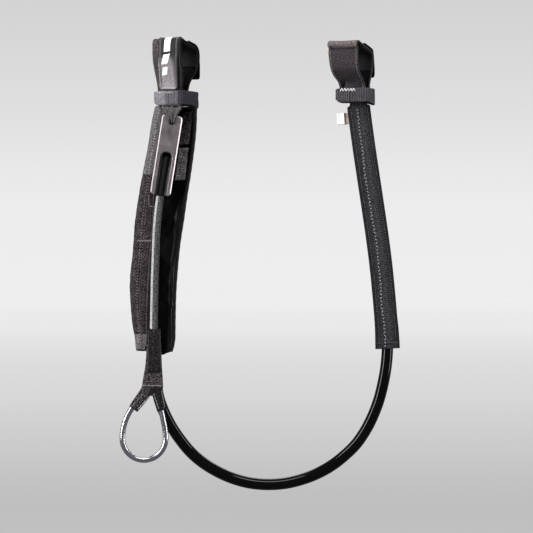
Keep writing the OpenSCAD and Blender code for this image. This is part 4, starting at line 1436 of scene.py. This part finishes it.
def cover_line(first, last, share, by, rows):
    """Points and outward directions along the cover, at a share of the way across part of its section."""
    points, out = [], []
    for row in rows:
        line = cover_section(row, first, last, 60)
        k = int(round(share * 59))
        way = sideways(line)[k]
        s = lengths(line)[k]
        place = line[k] + way * (by + cover_wave(s, row[0]) + cover_fine(s, row[0]))
        points.append((place[0], place[1], row[0]))
        out.append((way[0] * np.sign(by), way[1] * np.sign(by), 0))
    return np.array(points), np.array(out)


rim_path = np.column_stack(
    [cover_rows[:, 1] + cover_rows[:, 2] + 0.1, np.full(len(cover_rows), -1.6), cover_rows[:, 0]]
)
binding_bumps = lambda s, a: 1 + 0.05 * np.sin(s * 0.7) + 0.04 * np.sin(2.3 * s + 2 * a)
rim = round_tube(
    "cover_binding_right", smooth_path(sag(rim_path), 1.0), 1.55, "binding", 20, shape=binding_bumps,
)
settle(rim, "line", ["cover_rim"])
left_rim = cover_line(*FLAP, 0.0, -0.3, cover_rows)[0]
settle(
    round_tube("cover_binding_flap", smooth_path(left_rim, 1.0), 1.25, "binding", 18, shape=binding_bumps),
    "line", [],
)
for tag, row in (("top", cover_rows[0]), ("low", cover_rows[-1])):
    line = cover_section(row)
    ends = np.column_stack([line, np.full(len(line), row[0] + (-0.7 if tag == "top" else 0.9))])
    settle(
        round_tube(f"cover_hem_{tag}", sag(ends), 1.35, "binding", 16, shape=binding_bumps, up=(0, 0, 1)),
        "line", [],
    )

# seams on the cover: both edges of the strip and of the webbing, the bar-tack and the corner of stitches
seams = [
    ("strip_left", cover_rows_between(-108, -262), 0.8, "thread_mid"),
    ("strip_middle", cover_rows_between(-108, -262), 0.62, "thread_dark"),
    ("strip_right", cover_rows_between(-108, -262), 0.10, "thread_dark"),
    ("strap_left", cover_rows_between(-47, -105), 0.86, "thread_grey"),
    ("strap_right", cover_rows_between(-47, -105), 0.12, "thread_mid"),
]
for tag, rows, share, material in seams:
    places, out = cover_line(*FLAP, share, -CLOTH_T / 2 - 1.35, rows)
    sew(f"cover_seam_{tag}", places, out, 2.6, 1.5, 0.75, material, "line")


def across_flap(z, x0, x1, count=30):
    """A line across the flap at one height."""
    row = cover_rows_between(z + 1, z - 1)[1]
    line = cover_section(row, *FLAP, 80)
    s = lengths(line)
    way = sideways(line) * (1 + (cover_wave(s, z) + cover_fine(s, z))[:, None] / ON_FLAP)
    x = np.linspace(x0, x1, count)
    order = np.argsort(line[:, 0])
    y = np.interp(x, line[order, 0], (line[:, 1] + way[:, 1] * ON_FLAP)[order])
    return np.column_stack([x, y, np.full(count, z)])


front = lambda places: np.broadcast_to(np.array((0, -1.0, 0)), places.shape)
tack = across_flap(-165.5, -34.6, -22.8)
sew("cover_tack", tack, front(tack), 1.25, 2.4, 0.6, "thread_mid", "line", ["cover_bartack"], 1.1, 0.3)
corner_down = np.vstack([across_flap(z, -24.2, -24.0, 1) for z in np.arange(-124, -134.5, -1.5)])
corner_side = across_flap(-134.5, -24.2, -16.5)
for tag, corner in (("down", corner_down), ("side", corner_side)):
    sew(f"cover_corner_{tag}", corner, front(corner), 1.6, 1.3, 0.45, "thread_grey", "line", height=0.25)

# ---------------------------------------------------------------- rope inside the tube

SLEEVE_ROUTE = [
    (164.3, 0, -43.2), (166, 0, -57), (169.7, 0, -84), (173.6, 0, -110), (177.5, 0, -136), (181.3, 0, -162),
    (184.6, 0, -188), (187.2, 0, -214), (188.9, 0, -234), (189.9, 0, -246), (190.5, 0, -260.4),
]
ROPE_START = [(-13.1, BACK_Y, -120.5), (-13.8, -5.4, -126), (-15, -3.4, -134), (-16, -1.4, -141)]
ROPE_END = SLEEVE_ROUTE[7:0:-1] + [(164.2, 0, -42), (164, 0, -32)]
rope_path = smooth_path(ROPE_START + TUBE_ROUTE + ROPE_END, 1.2)
rope = round_tube("line_core", rope_path, ROPE_R, "rope", 20, shape=braid)
settle(rope, "line", ["line_rope"])

# ---------------------------------------------------------------- pull handle

handle_wave = wavy(31, 0.5, 0.35)


def on_handle(piece, nodes, body):
    """Rides on the handle, or, for pieces at the fold between the handle and the ring, rides on no body."""
    if not body:
        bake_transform(piece)
    settle(piece, body, nodes)


def handle_strap(name, points, half, thick, material, nodes, body=None, lift=None, columns=22):
    """Webbing of the pull handle: points are its middle line and half its half width at each of them."""
    path = smooth_path(points, 0.6)
    s = lengths(path)
    marks = lengths(np.array(points, float))
    w = np.interp(s, marks / marks[-1] * s[-1], half)
    t = np.interp(s, marks / marks[-1] * s[-1], np.broadcast_to(thick, (len(points),)))
    across = unit(np.cross(np.array((0, 1.0, 0)), along(path)))
    piece = strap(
        name, path, across, -w, w, t, material, columns,
        lift or (lambda x, s, l, r: selvedge(x, s, l, r) + handle_wave(x, s)),
    )
    on_handle(piece, nodes, body)


handle_strap(
    "handle_back",
    [
        (-19.7, -11.6, -257), (-19.6, -11.6, -268), (-19.8, -11.6, -279), (-20.3, -11.8, -288),
        (-20.7, -12.6, -297), (-20.7, -13.4, -299),
    ],
    [6.6, 6.9, 7.6, 8.8, 9.5, 9.4], 1.9, "stem", ["handle_stem"],
)
handle_strap(
    "handle_front",
    [(-19.6, -16.2, -281), (-20, -15.8, -287), (-20.5, -15.6, -293), (-20.7, -15.4, -299.5)],
    [6.6, 8.2, 9.2, 9.2], 1.5, "stem", [],
)


def sleeve_ribs(x, s, left, right):
    """Coarse weave pulled tight over the cord, thicker in the middle."""
    t = (2 * x - left - right) / (right - left)
    return 0.28 * np.abs(np.sin(s * math.pi / 2.0 + 0.6 * x)) - 0.9 * np.abs(t) ** 3 + 0.15 * np.sin(2.1 * x)


handle_strap(
    "handle_wrap",
    [(-19.1, -15.0, -244.4), (-19.1, -15.0, -256), (-19.0, -15.0, -270), (-19.0, -15.0, -283)],
    [5.8, 6.0, 6.2, 6.6], 4.9, "handle_cloth", ["handle_sleeve"], "handle", sleeve_ribs, 30,
)
handle_strap(
    "left_strap",
    [
        (-25.0, ROPE_Y, -296.2), (-27.0, ROPE_Y, -301.5), (-31.1, ROPE_Y, -307.2), (-34.6, ROPE_Y, -311.8),
        (-37.9, ROPE_Y, -316.2),
    ],
    [5.0, 5.4, 5.2, 4.9, 4.5], [5.6, 6.0, 6.2, 6.3, 5.8], "leg", ["left_leg"],
)
handle_strap(
    "strap_fork", [(-20.8, ROPE_Y, -297), (-21.2, ROPE_Y, -300.5), (-21.6, ROPE_Y, -304.4)],
    [6.4, 5.4, 2.6], [5.4, 5.6, 5.0], "leg_dark", [],
)
handle_strap(
    "right_strap",
    [(-16.4, ROPE_Y, -296.2), (-16.0, ROPE_Y, -302), (-14.6, ROPE_Y, -308.6), (-12.2, ROPE_Y, -317.4)],
    [4.9, 5.0, 4.8, 4.4], [5.6, 6.0, 6.2, 5.8], "leg_dark", ["right_leg"],
)


def handle_stitches(name, start, end, y, pitch, length, material, zigzag, nodes, body):
    path = np.linspace(np.array((start[0], y, start[1]), float), np.array((end[0], y, end[1]), float), 30)
    line = stitch_line(name, path, front(path), pitch, length, 0.65, material, zigzag=zigzag, height=0.4)
    on_handle(line, nodes, body)


for row in (
    # name, start and end in x and z, y, pitch, length, thread, zigzag, CAD nodes, body
    (
        "handle_seam_low", (-29.2, -295.4), (-12.2, -295.4), -16.5, 1.1, 1.7, "thread_mid", 2.2,
        ["handle_seam"], None,
    ),
    ("handle_seam_high", (-28.4, -291.6), (-12.4, -291.6), -16.6, 1.5, 1.2, "thread_dark", 0, [], None),
    ("handle_wrap_left", (-24.2, -246), (-24.6, -281), -16.7, 1.9, 1.3, "thread_dark", 0, [], "handle"),
    ("handle_wrap_right", (-14.0, -246), (-13.6, -281), -16.7, 1.9, 1.3, "thread_dark", 0, [], "handle"),
    ("left_strap_seam", (-22.6, -304.4), (-34.0, -316.8), -17.6, 1.5, 1.4, "thread_grey", 1.3, [], None),
    ("left_strap_seam_out", (-28.8, -302.5), (-38.6, -313.6), -17.6, 1.7, 1.3, "thread_mid", 0, [], None),
    ("right_strap_seam", (-19.6, -302), (-14.8, -316.4), -17.6, 1.5, 1.4, "thread_mid", 1.3, [], None),
    ("right_strap_seam_out", (-12.4, -300), (-9.4, -315.4), -17.6, 1.7, 1.3, "thread_mid", 0, [], None),
):
    handle_stitches(*row)

# ---------------------------------------------------------------- sleeve of the fixed end

SLEEVE_W, SLEEVE_D = 10.4, 6.7  # half width and half depth
HEM_Z, HEM_SEAM_Z = -262.4, -257.5
OVAL = (0.72, 0.82)  # powers that bend its section
sleeve_path = smooth_path([(163.9, 0, -37.6)] + SLEEVE_ROUTE[:-1] + [(190.6, 0, HEM_Z)], 1.0)
sleeve_s = lengths(sleeve_path)
sleeve_wave = wavy(41, 0.45, 0.09)
sleeve_fine = wavy(42, 0.14, 0.45)


def sleeve_piece():
    """A flat tube of ripstop cloth, folded along both edges and opening a little at its hem."""
    sides = 72
    across, deep = ring_frame(sleeve_path)
    g = np.arange(sides) * 2 * math.pi / sides
    c, d = np.cos(g), np.sin(g)
    cx, cy = bent(c, OVAL[0]), bent(d, OVAL[1])
    z = sleeve_path[:, 2]
    grow = np.interp(sleeve_s, [0, 3, 5.6, 6.2, 7.4, 400], [0.62, 0.72, 0.78, 0.95, 1, 1])
    w = grow * (SLEEVE_W + np.interp(-z, [234, 246, -HEM_Z], [0, 0.35, 0.7]))
    h = grow * (SLEEVE_D - 0.25) * np.ones(len(z))
    rings, uvs = [], []
    for i in range(len(sleeve_path)):
        x = w[i] * cx
        y = h[i] * cy
        # the rope makes a ridge along the middle of the cloth, with a hollow on each side
        soft = 1 - 0.14 * np.exp(-(((np.abs(cx) - 0.72) / 0.16) ** 2))
        sway = sleeve_wave(x * np.sign(cy), sleeve_s[i]) + sleeve_fine(x, sleeve_s[i])
        flute = 0.35 * np.exp(-((z[i] - HEM_Z) / 9) ** 2) * np.sin(5 * g + 0.6)
        rings.append(
            sleeve_path[i] + x[:, None] * across[i]
            + (y * soft + (sway - 0.3) * cy + flute * cy)[:, None] * deep[i]
        )
        uvs.append(np.column_stack([x + 40 * (cy > 0), np.full(sides, sleeve_s[i])]))
    # the cloth turns in at the hem
    for back, share in ((0, 0.86), (6, 0.86), (11, 0.8)):
        k = len(sleeve_path) - 1 - back
        rings.append(sleeve_path[k] + (rings[k] - sleeve_path[k]) * share)
        uvs.append(uvs[-1])
    # the folded edges take sleeve_edge, near-black cloth as painted shade
    edge = np.abs(c) > 0.975
    count = len(rings)
    which = lambda i, j: 2 if i >= count - 4 else int(edge[j])
    return loft(
        "sleeve_shell", rings, ["sleeve", "sleeve_edge", "liner_black"], which, np.concatenate(uvs) * MM,
    )


settle(sleeve_piece(), "line", ["sleeve", "sleeve_hem"])
FRONT_SIGN = 1 if ring_frame(sleeve_path)[1][0][1] > 0 else -1
LEFT_SIGN = 1 if ring_frame(sleeve_path)[0][0][0] > 0 else -1


def sleeve_seam(name, offset, pitch, length, width, material, zigzag, nodes, wander=0.0):
    across, deep = ring_frame(sleeve_path)
    shift = offset + wander * np.sin(sleeve_s / 17) + 0.5 * wander * np.sin(sleeve_s / 6.3)
    places = sleeve_path + LEFT_SIGN * shift[:, None] * across - FRONT_SIGN * (SLEEVE_D - 0.22) * deep
    places = places[sleeve_s > 8]
    sew(name, places, front(places), pitch, length, width, material, "line", nodes, zigzag, 0.3)


sleeve_seam("sleeve_zigzag", -2.3, 3.1, 2.4, 0.75, "thread_seam", 1.1, ["sleeve_stitch"], 0.5)
sleeve_seam("sleeve_run_left", -7.6, 2.4, 1.6, 0.4, "thread_dark", 0, [])
sleeve_seam("sleeve_run_right", 7.4, 2.4, 1.6, 0.4, "thread_dark", 0, [])
hem_k = int(np.argmin(np.abs(sleeve_path[:, 2] - HEM_SEAM_Z)))


def sleeve_hem_seam():
    across, deep = ring_frame(sleeve_path)
    g = np.linspace(0, 2 * math.pi, 120)
    c, d = np.cos(g), np.sin(g)
    cx, cy = bent(c, OVAL[0]), bent(d, OVAL[1])
    ring = (
        sleeve_path[hem_k] + (SLEEVE_W + 0.75) * cx[:, None] * across[hem_k]
        + SLEEVE_D * cy[:, None] * deep[hem_k]
    )
    out = unit(ring - sleeve_path[hem_k])
    sew("sleeve_hem_seam", ring, out, 2.1, 1.5, 0.45, "thread_dark", "line", height=0.3)


sleeve_hem_seam()


def cloth_tag(name, corners, thick, material, node, curl):
    """A small piece of tape or label, a little curled; corners are x and z, clockwise from the top left."""
    rows, cols = 12, 12
    points, faces = [], []
    c = np.array(corners, float)
    for face in (-1, 1):
        for i in range(rows):
            for j in range(cols):
                u, v = j / (cols - 1), i / (rows - 1)
                place = (1 - v) * ((1 - u) * c[0] + u * c[1]) + v * ((1 - u) * c[3] + u * c[2])
                y = curl * (math.cos(2.2 * (u - 0.3)) - 1) + 0.3 * math.sin(3 * v)
                points.append((place[0], y + face * thick / 2, place[1]))
    n = rows * cols
    for i in range(rows - 1):
        for j in range(cols - 1):
            q = [i * cols + j, i * cols + j + 1, (i + 1) * cols + j + 1, (i + 1) * cols + j]
            faces += [q[::-1], [n + k for k in q]]
    rim = list(range(cols)) + [i * cols + cols - 1 for i in range(1, rows)]
    rim += [(rows - 1) * cols + j for j in range(cols - 2, -1, -1)]
    rim += [i * cols for i in range(rows - 2, 0, -1)]
    for k, a in enumerate(rim):
        b = rim[(k + 1) % len(rim)]
        faces.append([a, n + a, n + b, b][::-1])
    uvs = [(p[0] * MM, p[2] * MM) for p in points]
    tag = add_mesh(name, points, faces, [material], uvs)
    return settle(tag, "line", [node])


cloth_tag(
    "white_flag", [(144.8, -50.9), (151.3, -50.6), (151.9, -60.4), (145.2, -60.9)], 0.7, "white_label",
    "label_flag", 1.2,
)
cloth_tag(
    "tan_loop", [(151.2, -49.9), (154.9, -50.6), (155.5, -60.4), (151.6, -60.8)], 1.1, "tan_tape",
    "label_base", 0.6,
)
